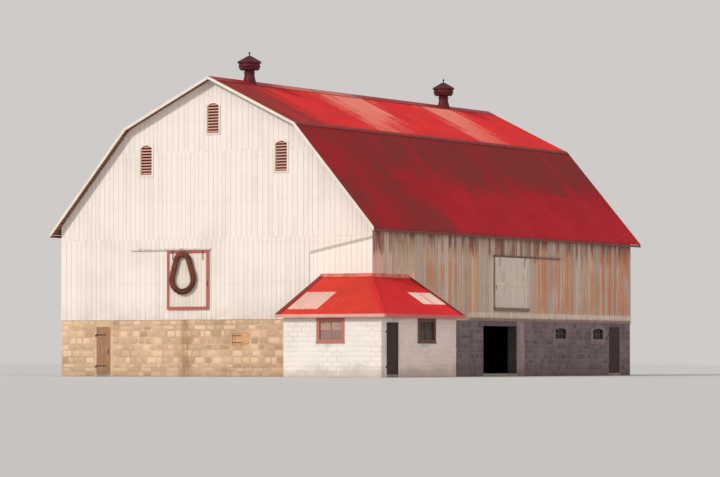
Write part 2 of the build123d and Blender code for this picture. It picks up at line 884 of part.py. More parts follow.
with BuildPart() as barge_boards:
    lower_xs = (eave_x, knee_x(0) + board_joint, knee_x(barge_depth) + board_joint, eave_x)
    upper_xs = (knee_x(0), board_joint, board_joint, knee_x(barge_depth))
    barge_depths = (0, 0, barge_depth, barge_depth)
    for xs in (lower_xs, upper_xs):
        with BuildSketch(Plane.XZ.offset(-roof_front)) as barge:
            with BuildLine():
                Polyline(*[roof_point(x, depth) for x, depth in zip(xs, barge_depths)], close=True)
            make_face()
            mirror(about=Plane.YZ)
        extrude(amount=barge_thickness)
    mirror(about=Plane.XZ)
finish(barge_boards, "barge_boards")

with BuildPart() as eave_boards:
    for side in (-1, 1):
        xs = sorted((side * eave_x, side * (eave_x + board_thickness)))
        ys = (roof_front, roof_front + roof_length)
        span(xs, ys, (eave_height - eave_board_depth, eave_height))
finish(eave_boards, "eave_boards")


def ventilator(y):
    """Round ridge ventilator: a flared skirt that sits on the ridge cap, a neck, an open-bottomed
    drum with a storm band, and a conical roof with a ball finial."""
    ridge = under_roof(0, -ridge_cap_thickness)
    skirt_foot = under_roof(2 * skirt_radius, -ridge_cap_thickness)
    skirt_rim = under_roof(skirt_radius, -ridge_cap_thickness) + skirt_collar
    skirt_top = ridge + skirt_height
    foot = ridge + drum_foot
    roof_foot = foot + drum_height
    cone_top = roof_foot + drum_roof_height
    ball = cone_top + finial_rise
    band = foot + drum_height * 0.45
    eave_flare = drum_radius + 2 * drum_wall
    with BuildPart() as vent:
        with BuildSketch(Plane.XZ.offset(-y)):
            with BuildLine():
                Polyline((0, skirt_foot), (skirt_radius, skirt_foot), (skirt_radius, skirt_rim))
                ThreePointArc(
                    (skirt_radius, skirt_rim),
                    (neck_radius + (skirt_radius - neck_radius) * 0.3, (skirt_rim + skirt_top) / 2),
                    (neck_radius, skirt_top),
                )
                Polyline(
                    (neck_radius, skirt_top),
                    (neck_radius, roof_foot - drum_wall),
                    (drum_radius - 2 * drum_wall, roof_foot - drum_wall),
                    (drum_radius - 3 * drum_wall, foot),
                    (drum_radius - 2 * drum_wall, foot),
                    (drum_radius, band),
                    (drum_radius - drum_wall, roof_foot - drum_wall),
                    (eave_flare, roof_foot - 2 * drum_wall),
                    (eave_flare, roof_foot),
                )
                ThreePointArc(
                    (eave_flare, roof_foot),
                    (drum_radius * 0.45, roof_foot + drum_roof_height * 0.62),
                    (finial_stem, cone_top),
                )
                Line((finial_stem, cone_top), (finial_stem, ball))
                Line((finial_stem, ball), (0, ball))
                Line((0, ball), (0, skirt_foot))
            make_face()
        revolve(axis=Axis((0, y, 0), (0, 0, 1)))
        with Locations((0, y, ball)):
            Sphere(finial_radius)
        with BuildSketch(Plane.XZ.offset(-y + 2 * skirt_radius)):
            with BuildLine():
                Polyline(
                    (0, ridge),
                    (2 * skirt_radius, skirt_foot),
                    (2 * skirt_radius, skirt_foot - skirt_height),
                    (-2 * skirt_radius, skirt_foot - skirt_height),
                    (-2 * skirt_radius, skirt_foot),
                    close=True,
                )
            make_face()
        extrude(amount=-4 * skirt_radius, mode=Mode.SUBTRACT)
    return vent


for place, ventilator_y in ventilator_ys.items():
    finish(ventilator(ventilator_y), f"ventilator_{place}")

# Annex walls stand under two roof planes that meet over the hip
front_pitch = (annex_top - annex_eave) / annex_front_reach
side_pitch = (annex_top - annex_eave) / annex_side_reach
under_front = Plane(origin=(0, -half_length, annex_top - annex_roof_rise), z_dir=(0, -front_pitch, 1))
under_side = Plane(origin=(half_width, 0, annex_top - annex_roof_rise), z_dir=(side_pitch, 0, 1))
hip_plane = Plane(
    origin=(half_width, -half_length, 0),
    z_dir=(annex_front_reach, annex_side_reach, 0),
)
annex_left_x = half_width - annex_left_reach + annex_rake_overhang
annex_right_y = -half_length + annex_right_reach - annex_rake_overhang
annex_inner_x = annex_corner_x - annex_wall
annex_inner_y = annex_corner_y + annex_wall
annex_wall_levels = (0, annex_top)


def trim_to_annex_roof():
    """Cuts the wall that is being built along the undersides of both annex slopes."""
    split(bisect_by=under_front, keep=Keep.BOTTOM)
    split(bisect_by=under_side, keep=Keep.BOTTOM)


with BuildPart() as annex_floor:
    slab = (0, annex_floor_thickness)
    span((annex_left_x + annex_wall, annex_inner_x), (annex_inner_y, -inside_y), slab)
    span((inside_x, annex_inner_x), (-inside_y, annex_right_y - annex_wall), slab)
    span((annex_inner_x, annex_corner_x), (annex_door_y, annex_door_y + annex_door_width), slab)
finish(annex_floor, "annex_floor")

front_window_x = annex_corner_x - annex_front_window_offset
side_window_y = annex_corner_y + annex_side_window_offset
with BuildPart() as annex_front_wall:
    span((annex_left_x, annex_corner_x), (annex_corner_y, annex_inner_y), annex_wall_levels)
    trim_to_annex_roof()
    with BuildSketch(annex_front(front_window_x, annex_window_sill)):
        Rectangle(annex_front_window_width, annex_window_height, align=(Align.CENTER, Align.MIN))
    extrude(amount=-annex_wall, mode=Mode.SUBTRACT)
finish(annex_front_wall, "annex_front_wall")

side_wall_xs = (annex_inner_x, annex_corner_x)
door_end_y = annex_door_y + annex_door_width
with BuildPart() as annex_side_wall_near:
    span(side_wall_xs, (annex_inner_y, annex_door_y), annex_wall_levels)
    trim_to_annex_roof()
finish(annex_side_wall_near, "annex_side_wall_near")

with BuildPart() as annex_side_wall_head:
    span(side_wall_xs, (annex_door_y, door_end_y), (annex_door_head, annex_top))
    trim_to_annex_roof()
finish(annex_side_wall_head, "annex_side_wall_head")

with BuildPart() as annex_side_wall_far:
    span(side_wall_xs, (door_end_y, annex_right_y), annex_wall_levels)
    trim_to_annex_roof()
    with BuildSketch(annex_side(side_window_y, annex_window_sill)):
        Rectangle(annex_side_window_width, annex_window_height, align=(Align.CENTER, Align.MIN))
    extrude(amount=-annex_wall, mode=Mode.SUBTRACT)
finish(annex_side_wall_far, "annex_side_wall_far")

# End walls reach the foundation below the boards and the boards above it
with BuildPart() as annex_end_walls:
    left_xs = (annex_left_x, annex_left_x + annex_wall)
    right_ys = (annex_right_y - annex_wall, annex_right_y)
    span(left_xs, (annex_inner_y, -inside_y), (0, board_foot))
    span(left_xs, (annex_inner_y, -half_length), (board_foot, annex_top))
    span((inside_x, annex_inner_x), right_ys, (0, board_foot))
    span((half_width, annex_inner_x), right_ys, (board_foot, annex_top))
    trim_to_annex_roof()
finish(annex_end_walls, "annex_end_walls")

annex_eave_y = -half_length - annex_front_reach
annex_eave_x = half_width + annex_side_reach
annex_rake_x = half_width - annex_left_reach
annex_rake_y = -half_length + annex_right_reach
with BuildPart() as annex_roof_front:
    with BuildSketch(Plane.YZ.offset(annex_rake_x)):
        with BuildLine():
            Polyline(
                (-half_length, annex_top),
                (annex_eave_y, annex_eave),
                (annex_eave_y, annex_eave - annex_roof_rise),
                (-half_length, annex_top - annex_roof_rise),
                close=True,
            )
        make_face()
    extrude(amount=annex_eave_x - annex_rake_x)
    split(bisect_by=hip_plane, keep=Keep.BOTTOM)
finish(annex_roof_front, "annex_roof_front")

with BuildPart() as annex_roof_side:
    with BuildSketch(Plane.XZ.offset(-annex_eave_y)):
        with BuildLine():
            Polyline(
                (half_width, annex_top),
                (annex_eave_x, annex_eave),
                (annex_eave_x, annex_eave - annex_roof_rise),
                (half_width, annex_top - annex_roof_rise),
                close=True,
            )
        make_face()
    extrude(amount=annex_eave_y - annex_rake_y)
    split(bisect_by=hip_plane, keep=Keep.TOP)
finish(annex_roof_side, "annex_roof_side")

with BuildPart() as annex_fascia:
    fascia_levels = (annex_eave - annex_fascia_depth, annex_eave)
    span(
        (annex_rake_x, annex_eave_x),
        (annex_eave_y - annex_fascia_thickness, annex_eave_y),
        fascia_levels,
    )
    span(
        (annex_eave_x, annex_eave_x + annex_fascia_thickness),
        (annex_eave_y + board_joint, annex_rake_y),
        fascia_levels,
    )
    with BuildSketch(Plane.YZ.offset(annex_rake_x)):
        with BuildLine():
            Polyline(
                (-half_length, annex_top),
                (annex_eave_y, annex_eave),
                (annex_eave_y, annex_eave - annex_fascia_depth),
                (-half_length, annex_top - annex_fascia_depth),
                close=True,
            )
        make_face()
    extrude(amount=-annex_fascia_thickness)
    with BuildSketch(Plane.XZ.offset(-annex_rake_y)):
        with BuildLine():
            Polyline(
                (half_width, annex_top),
                (annex_eave_x, annex_eave),
                (annex_eave_x, annex_eave - annex_fascia_depth),
                (half_width, annex_top - annex_fascia_depth),
                close=True,
            )
        make_face()
    extrude(amount=-annex_fascia_thickness)
finish(annex_fascia, "annex_fascia")


def square_window(face, width):
    """Annex window: a lining through the wall, with boards around it on the outer face."""
    height = annex_window_height
    low = (Align.CENTER, Align.MIN)
    outer_size = (width + 2 * annex_window_surround, height + 2 * annex_window_surround)
    with BuildPart() as window:
        with BuildSketch(face):
            with Locations((0, -annex_window_surround)):
                Rectangle(*outer_size, align=low)
        extrude(amount=surround_proud)
        with BuildSketch(face):
            Rectangle(width, height, align=low)
        extrude(amount=-window_depth)
        with BuildSketch(face.offset(-window_depth)):
            with Locations((0, sash_width)):
                Rectangle(width - 2 * sash_width, height - 2 * sash_width, align=low)
        extrude(amount=2 * window_depth, mode=Mode.SUBTRACT)
    return window


annex_windows = [
    (annex_front(front_window_x, annex_window_sill), annex_front_window_width),
    (annex_side(side_window_y, annex_window_sill), annex_side_window_width),
]
with BuildPart() as annex_window_frames:
    for window_face, width in annex_windows:
        add(square_window(window_face, width).part)
finish(annex_window_frames, "annex_window_frames")

with BuildPart() as window_glass:
    for window_face in stable_window_faces:
        arched_pane(window_face)
    for window_face, width in annex_windows:
        pane = window_face.offset(-window_depth / 2 - glass_thickness / 2)
        with BuildSketch(pane):
            with Locations((0, sash_width)):
                Rectangle(
                    width - 2 * sash_width,
                    annex_window_height - 2 * sash_width,
                    align=(Align.CENTER, Align.MIN),
                )
        extrude(amount=glass_thickness)
finish(window_glass, "window_glass")
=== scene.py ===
"""Dresses the barn: boards, stones, blocks, ribbed roofing, doors, vents, wreath and finishes.

Lengths are in metres in the barn's own frame: +Z up, the ridge along Y, the cream gable at -Y and the
long side with the doorways at +X.
"""

import json
import math

import bpy
import numpy as np
from bpy.props import FloatProperty, FloatVectorProperty, IntProperty, PointerProperty
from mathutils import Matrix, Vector


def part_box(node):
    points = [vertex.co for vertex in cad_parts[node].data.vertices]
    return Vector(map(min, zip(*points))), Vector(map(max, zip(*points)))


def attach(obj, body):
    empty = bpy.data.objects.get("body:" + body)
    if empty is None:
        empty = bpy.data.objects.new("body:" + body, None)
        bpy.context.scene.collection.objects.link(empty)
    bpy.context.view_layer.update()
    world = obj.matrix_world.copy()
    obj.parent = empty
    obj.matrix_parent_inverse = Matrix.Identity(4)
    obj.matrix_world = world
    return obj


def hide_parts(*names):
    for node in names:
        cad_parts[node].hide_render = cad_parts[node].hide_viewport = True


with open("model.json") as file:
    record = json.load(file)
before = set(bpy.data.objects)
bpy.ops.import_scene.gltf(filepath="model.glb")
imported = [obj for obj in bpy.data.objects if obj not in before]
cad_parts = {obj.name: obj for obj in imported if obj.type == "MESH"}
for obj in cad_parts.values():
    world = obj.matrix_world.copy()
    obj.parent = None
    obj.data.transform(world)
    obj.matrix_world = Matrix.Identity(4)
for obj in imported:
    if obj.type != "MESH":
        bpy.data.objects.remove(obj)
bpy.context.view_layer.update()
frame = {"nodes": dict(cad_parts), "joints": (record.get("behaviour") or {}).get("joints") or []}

bl_info = {
    "name": "Barn dressing",
    "version": (1, 0, 0),
    "blender": (4, 5, 0),
    "location": "View3D > Sidebar > Barn",
    "description": "Boards, stones, roofing, doors and finishes of a gambrel-roofed bank barn",
    "category": "Object",
}


# Sizes and colours that a user may change

def srgb(red, green, blue):
    """Linear colour from the usual 0 to 255 values."""
    shares = (red / 255, green / 255, blue / 255)
    return tuple(v / 12.92 if v < 0.04 else ((v + 0.055) / 1.055) ** 2.4 for v in shares)


def metres(name, description, default):
    return FloatProperty(name=name, description=description, default=default, unit="LENGTH")


def number(name, description, default):
    return FloatProperty(name=name, description=description, default=default)


def tint(name, description, *values):
    return FloatVectorProperty(name=name, description=description, subtype="COLOR", default=srgb(*values))


def point(name, description, *values):
    return FloatVectorProperty(name=name, description=description, subtype="TRANSLATION", default=values)


class BarnBoards(bpy.types.PropertyGroup):
    """Sizes of the wall boards."""
    width: metres("Board width", "Usual width of a wall board", 0.235)
    spread: number("Width spread", "Share by which widths differ", 0.22)
    gap: metres("Side gap", "Gap between weathered boards", 0.009)
    tight: metres("Gable gap", "Gap between painted boards", 0.005)
    relief: metres("Relief", "How far boards stand off one another", 0.006)


class BarnMasonry(bpy.types.PropertyGroup):
    """Sizes of the stones and blocks."""
    stone_height: metres("Course height", "Usual height of a course", 0.235)
    stone_width: metres("Stone width", "Usual width of a stone", 0.42)
    stone_proud: metres("Stone relief", "How far stones stand out", 0.022)
    joint: metres("Joint", "Width of the mortar joint", 0.022)
    block_width: metres("Block width", "Width of a wall block", 0.4)
    block_height: metres("Block height", "Height of a wall block", 0.2)


class BarnRoofing(bpy.types.PropertyGroup):
    """Sizes of the ribbed sheets."""
    sheet_width: metres("Sheet width", "Cover width of a sheet", 0.9)
    ribs: IntProperty(name="Ribs", description="Ribs to a sheet", default=3, min=1)
    rib_height: metres("Rib height", "Height of a rib", 0.02)
    lap: metres("Lap", "How far a course laps the one below", 0.15)


class BarnColours(bpy.types.PropertyGroup):
    """Colours of the paints, woods and stones."""
    cream: tint("Cream", "Paint of the gable", 242, 230, 219)
    grey_board: tint("Grey board", "Weathered wall board", 224, 198, 180)
    tan_board: tint("Tan board", "Stained patch of a side", 230, 174, 130)
    red_board: tint("Red board", "Rusty patch of a side", 210, 132, 98)
    red_roof: tint("Red", "Roof paint", 226, 42, 44)
    # The annex's front slope red is the roof red painted warmer and lighter: painted sunlight.
    sunlit_orange_red: tint("Orange red", "Paint of the annex's front slope", 230, 62, 48)
    # The steep slopes' red is the roof red painted darker: painted shade.
    shaded_deep_red: tint("Deep red", "Paint of the steep slopes", 184, 32, 44)
    faded_roof: tint("Faded red", "Chalked roof paint", 236, 140, 122)
    brown_roof: tint("Brown", "Rusted roof sheets", 126, 56, 54)
    # The ventilators' dark red is their red paint darkened: painted shade.
    shaded_maroon: tint("Maroon", "Ventilator paint", 92, 30, 36)
    tan_stone: tint("Tan stone", "Stone of the front", 222, 186, 150)
    grey_stone: tint("Grey stone", "Stone of the sides", 118, 100, 104)
    white_wash: tint("Whitewash", "Annex walls", 240, 229, 220)
    white_paint: tint("White paint", "Doors and trim", 236, 222, 208)
    brown_paint: tint("Brown paint", "Vents, frames and trim", 140, 78, 66)
    dark_plank: tint("Dark plank", "Dark doors", 62, 36, 32)
    timber: tint("Timber", "Frame inside", 122, 88, 62)


class BarnStage(bpy.types.PropertyGroup):
    """Camera and light."""
    camera: point("Camera", "Where the camera stands", 80.57, -138.91, 0.57)
    aim: point("Aim", "Point at the middle of the view", 1.0, -1.5, 6.0)
    lens: number("Lens", "Focal length in millimetres", 182.0)
    sun: number("Sun", "Strength of the main light", 1.75)
    fill: number("Fill", "Strength of the light from the right", 0.7)
    ambient: number("Ambient", "Strength of the world's light", 0.5)
    backdrop: tint("Backdrop", "Colour behind the barn", 206, 203, 200)


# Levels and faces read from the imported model

class Face:
    """A plane: an origin, a direction across it and one up it, and for a roof slope its length. Out
    is across times up."""

    def __init__(self, origin, across, up=(0, 0, 1), length=0.0):
        self.origin, self.across, self.up = (np.array(v, float) for v in (origin, across, up))
        self.out, self.length = np.cross(self.across, self.up), length

    def at(self, u, v, out):
        """origin + u across + v up + out along the normal, for arrays that broadcast."""
        u, v, out = np.broadcast_arrays(u, v, out)
        return self.origin + u[..., None] * self.across + v[..., None] * self.up + out[..., None] * self.out

    def moved(self, across=0.0, out=0.0):
        """The same plane with its origin moved across it and out of it."""
        return Face(self.origin + across * self.across + out * self.out, self.across, self.up, self.length)


def upright(front, rear, right, left):
    """The four upright faces round a plan, each seen from outside."""
    return {
        "front": Face((0, front, 0), (1, 0, 0)), "rear": Face((0, rear, 0), (-1, 0, 0)),
        "right": Face((right, 0, 0), (0, 1, 0)), "left": Face((left, 0, 0), (0, -1, 0)),
    }


def pitched(origin, across, inward, run, rise):
    """A roof slope that climbs by rise over its run towards inward."""
    length = math.hypot(run, rise)
    return Face(origin, across, (inward[0] * run / length, inward[1] * run / length, rise / length), length)


HALF_WIDTH, HALF_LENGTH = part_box("right_wall")[1].x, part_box("rear_gable_wall")[1].y
BOARD_FOOT, DECK_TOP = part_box("right_wall")[0].z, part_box("main_floor")[1].z
STONE_X, STONE_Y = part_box("right_foundation_far")[1].x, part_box("rear_foundation")[1].y
EAVE_X, EAVE_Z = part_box("roof_lower_right")[1].x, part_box("eave_boards")[1].z
EAVE_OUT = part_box("eave_boards")[1].x - EAVE_X
KNEE_X, KNEE_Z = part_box("roof_upper_right")[1].x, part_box("roof_lower_right")[1].z
ROOF_END, PEAK_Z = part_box("roof_upper_right")[1].y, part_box("roof_upper_right")[1].z
ROOF_DEPTH = 0.05
LOWER_ANGLE = math.atan2(KNEE_Z - EAVE_Z, EAVE_X - KNEE_X)
UPPER_ANGLE = math.atan2(PEAK_Z - KNEE_Z, KNEE_X)
SLOPES = {
    f"{part}_{name}": pitched((side * x, 0, z), (0, side, 0), (-side, 0), run, rise)
    for name, side in (("right", 1), ("left", -1))
    for part, x, z, run, rise in (
        ("lower", EAVE_X, EAVE_Z, EAVE_X - KNEE_X, KNEE_Z - EAVE_Z),
        ("upper", KNEE_X, KNEE_Z, KNEE_X, PEAK_Z - KNEE_Z),
    )
}
LOWER_LENGTH, UPPER_LENGTH = SLOPES["lower_right"].length, SLOPES["upper_right"].length
WALLS = upright(-HALF_LENGTH, HALF_LENGTH, HALF_WIDTH, -HALF_WIDTH)
FOUNDATION = upright(-STONE_Y, STONE_Y, STONE_X, -STONE_X)

ANNEX_X, ANNEX_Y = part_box("annex_side_wall_far")[1].x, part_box("annex_front_wall")[0].y
ANNEX_LEFT, ANNEX_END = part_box("annex_front_wall")[0].x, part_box("annex_side_wall_far")[1].y
ANNEX_EAVE_X, ANNEX_EAVE_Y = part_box("annex_roof_side")[1].x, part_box("annex_roof_front")[0].y
ANNEX_RAKE_X, ANNEX_RAKE_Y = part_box("annex_roof_front")[0].x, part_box("annex_roof_side")[1].y
FASCIA_DROP = 0.13
ANNEX_TOP, ANNEX_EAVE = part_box("annex_roof_front")[1].z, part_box("annex_fascia")[0].z + FASCIA_DROP
FRONT_RUN, SIDE_RUN = -HALF_LENGTH - ANNEX_EAVE_Y, ANNEX_EAVE_X - HALF_WIDTH
ANNEX_RISE = ANNEX_TOP - ANNEX_EAVE
ANNEX_WALLS = upright(ANNEX_Y, ANNEX_END, ANNEX_X, ANNEX_LEFT)
FRONT_SLOPE = pitched((0, ANNEX_EAVE_Y, ANNEX_EAVE), (1, 0, 0), (0, 1), FRONT_RUN, ANNEX_RISE)
SIDE_SLOPE = pitched((ANNEX_EAVE_X, 0, ANNEX_EAVE), (0, 1, 0), (-1, 0), SIDE_RUN, ANNEX_RISE)
FRONT_SPAN = (ANNEX_RAKE_X + 0.002, ANNEX_EAVE_X - 0.01)
SIDE_SPAN = (ANNEX_EAVE_Y + 0.01, ANNEX_RAKE_Y - 0.002)
# Windows of the annex: the middle and width of each opening
ANNEX_WINDOWS = {"front": (ANNEX_X - 2.32, 1.1), "right": (ANNEX_Y + 3.64, 1.3)}
ANNEX_SILL, ANNEX_LINTEL = (corner.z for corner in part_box("annex_window_frames"))

# Stable windows: their width and height, the sill's level, and their middles along each side
WINDOW_WIDTH, WINDOW_HEIGHT, WINDOW_SILL = 1.15, 0.55, 1.6
WINDOW_PLACES = {"right": (4.84, 8.56), "left": (-8.56, -4.84, 4.84, 8.56)}

# Vents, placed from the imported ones
VENT_WIDTH, VENT_HEIGHT, VENT_RISE, VENT_FLANGE = 0.56, 1.23, 0.12, 0.08
VENT_LOW, VENT_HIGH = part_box("gable_vents")
VENT_OFFSET = VENT_HIGH.x - VENT_FLANGE - VENT_WIDTH / 2
VENT_PLACES = (
    (0.0, VENT_HIGH.z - VENT_FLANGE - VENT_HEIGHT),
    (-VENT_OFFSET, VENT_LOW.z + VENT_FLANGE),
    (VENT_OFFSET, VENT_LOW.z + VENT_FLANGE),
)


def extent(name, side):
    """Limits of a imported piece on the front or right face: left, right, foot and head."""
    low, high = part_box(name)
    axis = 0 if side == "front" else 1
    return low[axis], high[axis], low.z, high.z


def roof_underside(x):
    """Height of the underside of the roof slab over x."""
    lower = EAVE_Z + (EAVE_X - abs(x)) * math.tan(LOWER_ANGLE) - ROOF_DEPTH / math.cos(LOWER_ANGLE)
    upper = PEAK_Z - abs(x) * math.tan(UPPER_ANGLE) - ROOF_DEPTH / math.cos(UPPER_ANGLE)
    return min(lower, upper)


def roof_reach(z):
    """Place of the underside of the right slopes at a height: roof_underside the other way round."""
    lower = EAVE_X - (z - EAVE_Z + ROOF_DEPTH / math.cos(LOWER_ANGLE)) / math.tan(LOWER_ANGLE)
    upper = (PEAK_Z - z - ROOF_DEPTH / math.cos(UPPER_ANGLE)) / math.tan(UPPER_ANGLE)
    return min(lower, upper)


def arch_radius(half, rise):
    """Radius of the circle through two springings half to each side and a crown rise above them."""
    return (half**2 + rise**2) / (2 * rise)


def turn(count):
    """Even angles round a full turn."""
    return np.linspace(0, 2 * math.pi, count + 1)[:-1]


# Surfaces

PLAIN_LAY = (0.5, 0.5, 0.5, 0.5)


def lay_of(tone, across, along, last):
    """The lay of a grid: its four values spread over one shape."""
    return np.stack(np.broadcast_arrays(tone, across, along, last), -1)


def slab_faces(rows, cols):
    """Faces of a closed slab whose front and back are grids of rows by cols points."""
    front = np.arange(rows * cols).reshape(rows, cols)
    quads = np.stack([front[:-1, :-1], front[:-1, 1:], front[1:, 1:], front[1:, :-1]], -1).reshape(-1, 4)
    rim = np.concatenate([front[0, :-1], front[:-1, -1], front[-1, :0:-1], front[:0:-1, 0]])
    after = np.roll(rim, -1)
    edge = np.stack([after, rim, rim + front.size, after + front.size], -1)
    return [np.concatenate([quads, quads[:, ::-1] + front.size, edge])]


def tube_faces(rows, sides, loop):
    """Faces of a tube of rows rings with sides points each, capped by fans unless it is a loop."""
    here = np.arange(rows * sides).reshape(rows, sides)
    after = np.roll(here, -1, axis=1)
    if loop:
        quads = [here, after, np.roll(after, -1, axis=0), np.roll(here, -1, axis=0)]
        return [np.stack(quads, -1).reshape(-1, 4)]
    quads = np.stack([here[:-1], after[:-1], after[1:], here[1:]], -1).reshape(-1, 4)
    low, high = np.full(sides, here.size), np.full(sides, here.size + 1)
    caps = [np.stack([low, after[0], here[0]], -1), np.stack([high, here[-1], after[-1]], -1)]
    return [quads, np.concatenate(caps)]


class Shells:
    """Closed shells gathered for one piece, each turned outward by the sign of its volume. Every
    point carries a lay: the shell's tone, then how far across, how far along, and one more value."""

    def __init__(self):
        self.points, self.lays, self.faces, self.size = [], [], {3: [], 4: []}, 0

    def add(self, points, lay, faces):
        """points is shells by corners by 3, lay spreads to shells by corners by 4."""
        shells, corners = points.shape[:2]
        centred = points - points.mean(axis=1, keepdims=True)
        volume = np.zeros(shells)
        for face in faces:
            for i in range(1, face.shape[1] - 1):
                slant = np.cross(centred[:, face[:, i]], centred[:, face[:, i + 1]])
                volume += np.einsum("sfi,sfi->s", centred[:, face[:, 0]], slant)
        start = (self.size + corners * np.arange(shells))[:, None, None]
        for face in faces:
            outward = np.where((volume < 0)[:, None, None], face[None, :, ::-1], face[None])
            self.faces[face.shape[1]].append((outward + start).reshape(-1, face.shape[1]))
        self.points.append(points.reshape(-1, 3))
        self.lays.append(np.broadcast_to(lay, (shells, corners, 4)).reshape(-1, 4))
        self.size += shells * corners

    def slabs(self, front, back, lay=PLAIN_LAY):
        """Slabs between front and back grids, each shells by rows by cols by 3."""
        shells, rows, cols = front.shape[:3]
        lay = np.broadcast_to(lay, (shells, rows, cols, 4)).reshape(shells, -1, 4)
        points = np.concatenate([front.reshape(shells, -1, 3), back.reshape(shells, -1, 3)], axis=1)
        self.add(points, np.concatenate([lay, lay], axis=1), slab_faces(rows, cols))

    def tubes(self, rings, lay=PLAIN_LAY, loop=False):
        """Tubes through rings, shells by rows by sides by 3."""
        shells, rows, sides = rings.shape[:3]
        lay = np.broadcast_to(lay, (shells, rows, sides, 4)).reshape(shells, -1, 4)
        points = rings.reshape(shells, -1, 3)
        if not loop:
            points = np.concatenate([points, rings[:, [0, -1]].mean(2)], axis=1)
            lay = np.concatenate([lay, lay[:, :1], lay[:, -1:]], axis=1)
        self.add(points, lay, tube_faces(rows, sides, loop))

    def bars(self, face, u0, u1, v0, v1, back, front, tone=0.5, bevel=0.0):
        """Rectangular bars on a face, their front edges eased by bevel."""
        u0, u1, v0, v1, back, front, tone = np.broadcast_arrays(
            *(np.atleast_1d(np.asarray(v, float))[:, None, None] for v in (u0, u1, v0, v1, back, front, tone))
        )
        inner = [bevel] if bevel else []
        u = np.concatenate([u0, *(u0 + e for e in inner), *(u1 - e for e in inner), u1], 2)
        v = np.concatenate([v0, *(v0 + e for e in inner), *(v1 - e for e in inner), v1], 1)
        eased = np.zeros((v.shape[1], u.shape[2]))
        eased[[0, -1]], eased[:, [0, -1]] = bevel, bevel
        lay = lay_of(tone, (u - u0) / (u1 - u0), v, u1 - u0)
        self.slabs(face.at(u, v, front - eased), face.at(u, v, back), lay)

    def piece(self, name, finish, slot, body="barn", stands_for=()):
        """The mesh as one object at the origin, riding on a body of the barn."""
        mesh = bpy.data.meshes.new(name)
        points = np.concatenate(self.points).astype(np.float32)
        groups = [np.concatenate(faces) for faces in self.faces.values() if faces]
        corners = np.concatenate([group.ravel() for group in groups])
        totals = np.concatenate([np.full(len(group), group.shape[1]) for group in groups])
        mesh.vertices.add(len(points))
        mesh.vertices.foreach_set("co", points.ravel())
        mesh.loops.add(len(corners))
        mesh.loops.foreach_set("vertex_index", corners.astype(np.int32))
        mesh.polygons.add(len(totals))
        mesh.polygons.foreach_set("loop_start", (np.cumsum(totals) - totals).astype(np.int32))
        mesh.update(calc_edges=True)
        mesh.attributes.new("lay", "FLOAT_COLOR", "POINT")
        mesh.attributes["lay"].data.foreach_set("color", np.concatenate(self.lays).astype(np.float32).ravel())
        mesh.shade_smooth()
        mesh.set_sharp_from_angle(angle=math.radians(38))
        mesh.materials.append(finish)
        made = bpy.data.objects.new(name, mesh)
        bpy.context.scene.collection.objects.link(made)
        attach(made, body)
        if stands_for:
            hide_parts(*stands_for)


def dress(node, finish):
    """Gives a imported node's object a finish on every slot."""
    mesh = frame["nodes"][node].data
    mesh.materials.clear()
    mesh.materials.append(finish)


def steps(start, end, width, spread, rng):
    """Edges from start to end: random widths about one width, stretched so that they fill it."""
    count = max(1, round((end - start) / width))
    widths = 1 + spread * rng.uniform(-1, 1, count)
    return start + (end - start) * np.concatenate([[0], np.cumsum(widths) / widths.sum()])


def sides_of(edges, gap):
    """Left and right sides of the boards between edges, each a gap inside its edge."""
    return edges[:-1] + gap, edges[1:] - gap


def bow(t, size, phase):
    """Gentle double curve along a board: size times the sum of two sines of the length t."""
    return size * (0.7 * np.sin(math.pi * t + phase) + 0.3 * np.sin(3 * math.pi * t + 2 * phase))


class Hole:
    """An opening in a board wall, flat-headed or with a circular arch of the given rise. cuts are the
    places across where a board is split: the sides, and along the arch."""

    def __init__(self, left, right, foot, head, rise=0.0):
        self.left, self.right, self.foot, self.head, self.rise = left, right, foot, head, rise
        self.cuts = np.linspace(left, right, 7 if rise else 2)

    def top(self, u):
        """Height of the head at u: a circle through the springings and the crown."""
        if not self.rise:
            return self.head
        half = (self.right - self.left) / 2
        radius = arch_radius(half, self.rise)
        from_centre = np.clip(u - (self.left + self.right) / 2, -half, half)
        return self.head - radius + math.sqrt(radius**2 - from_centre**2)


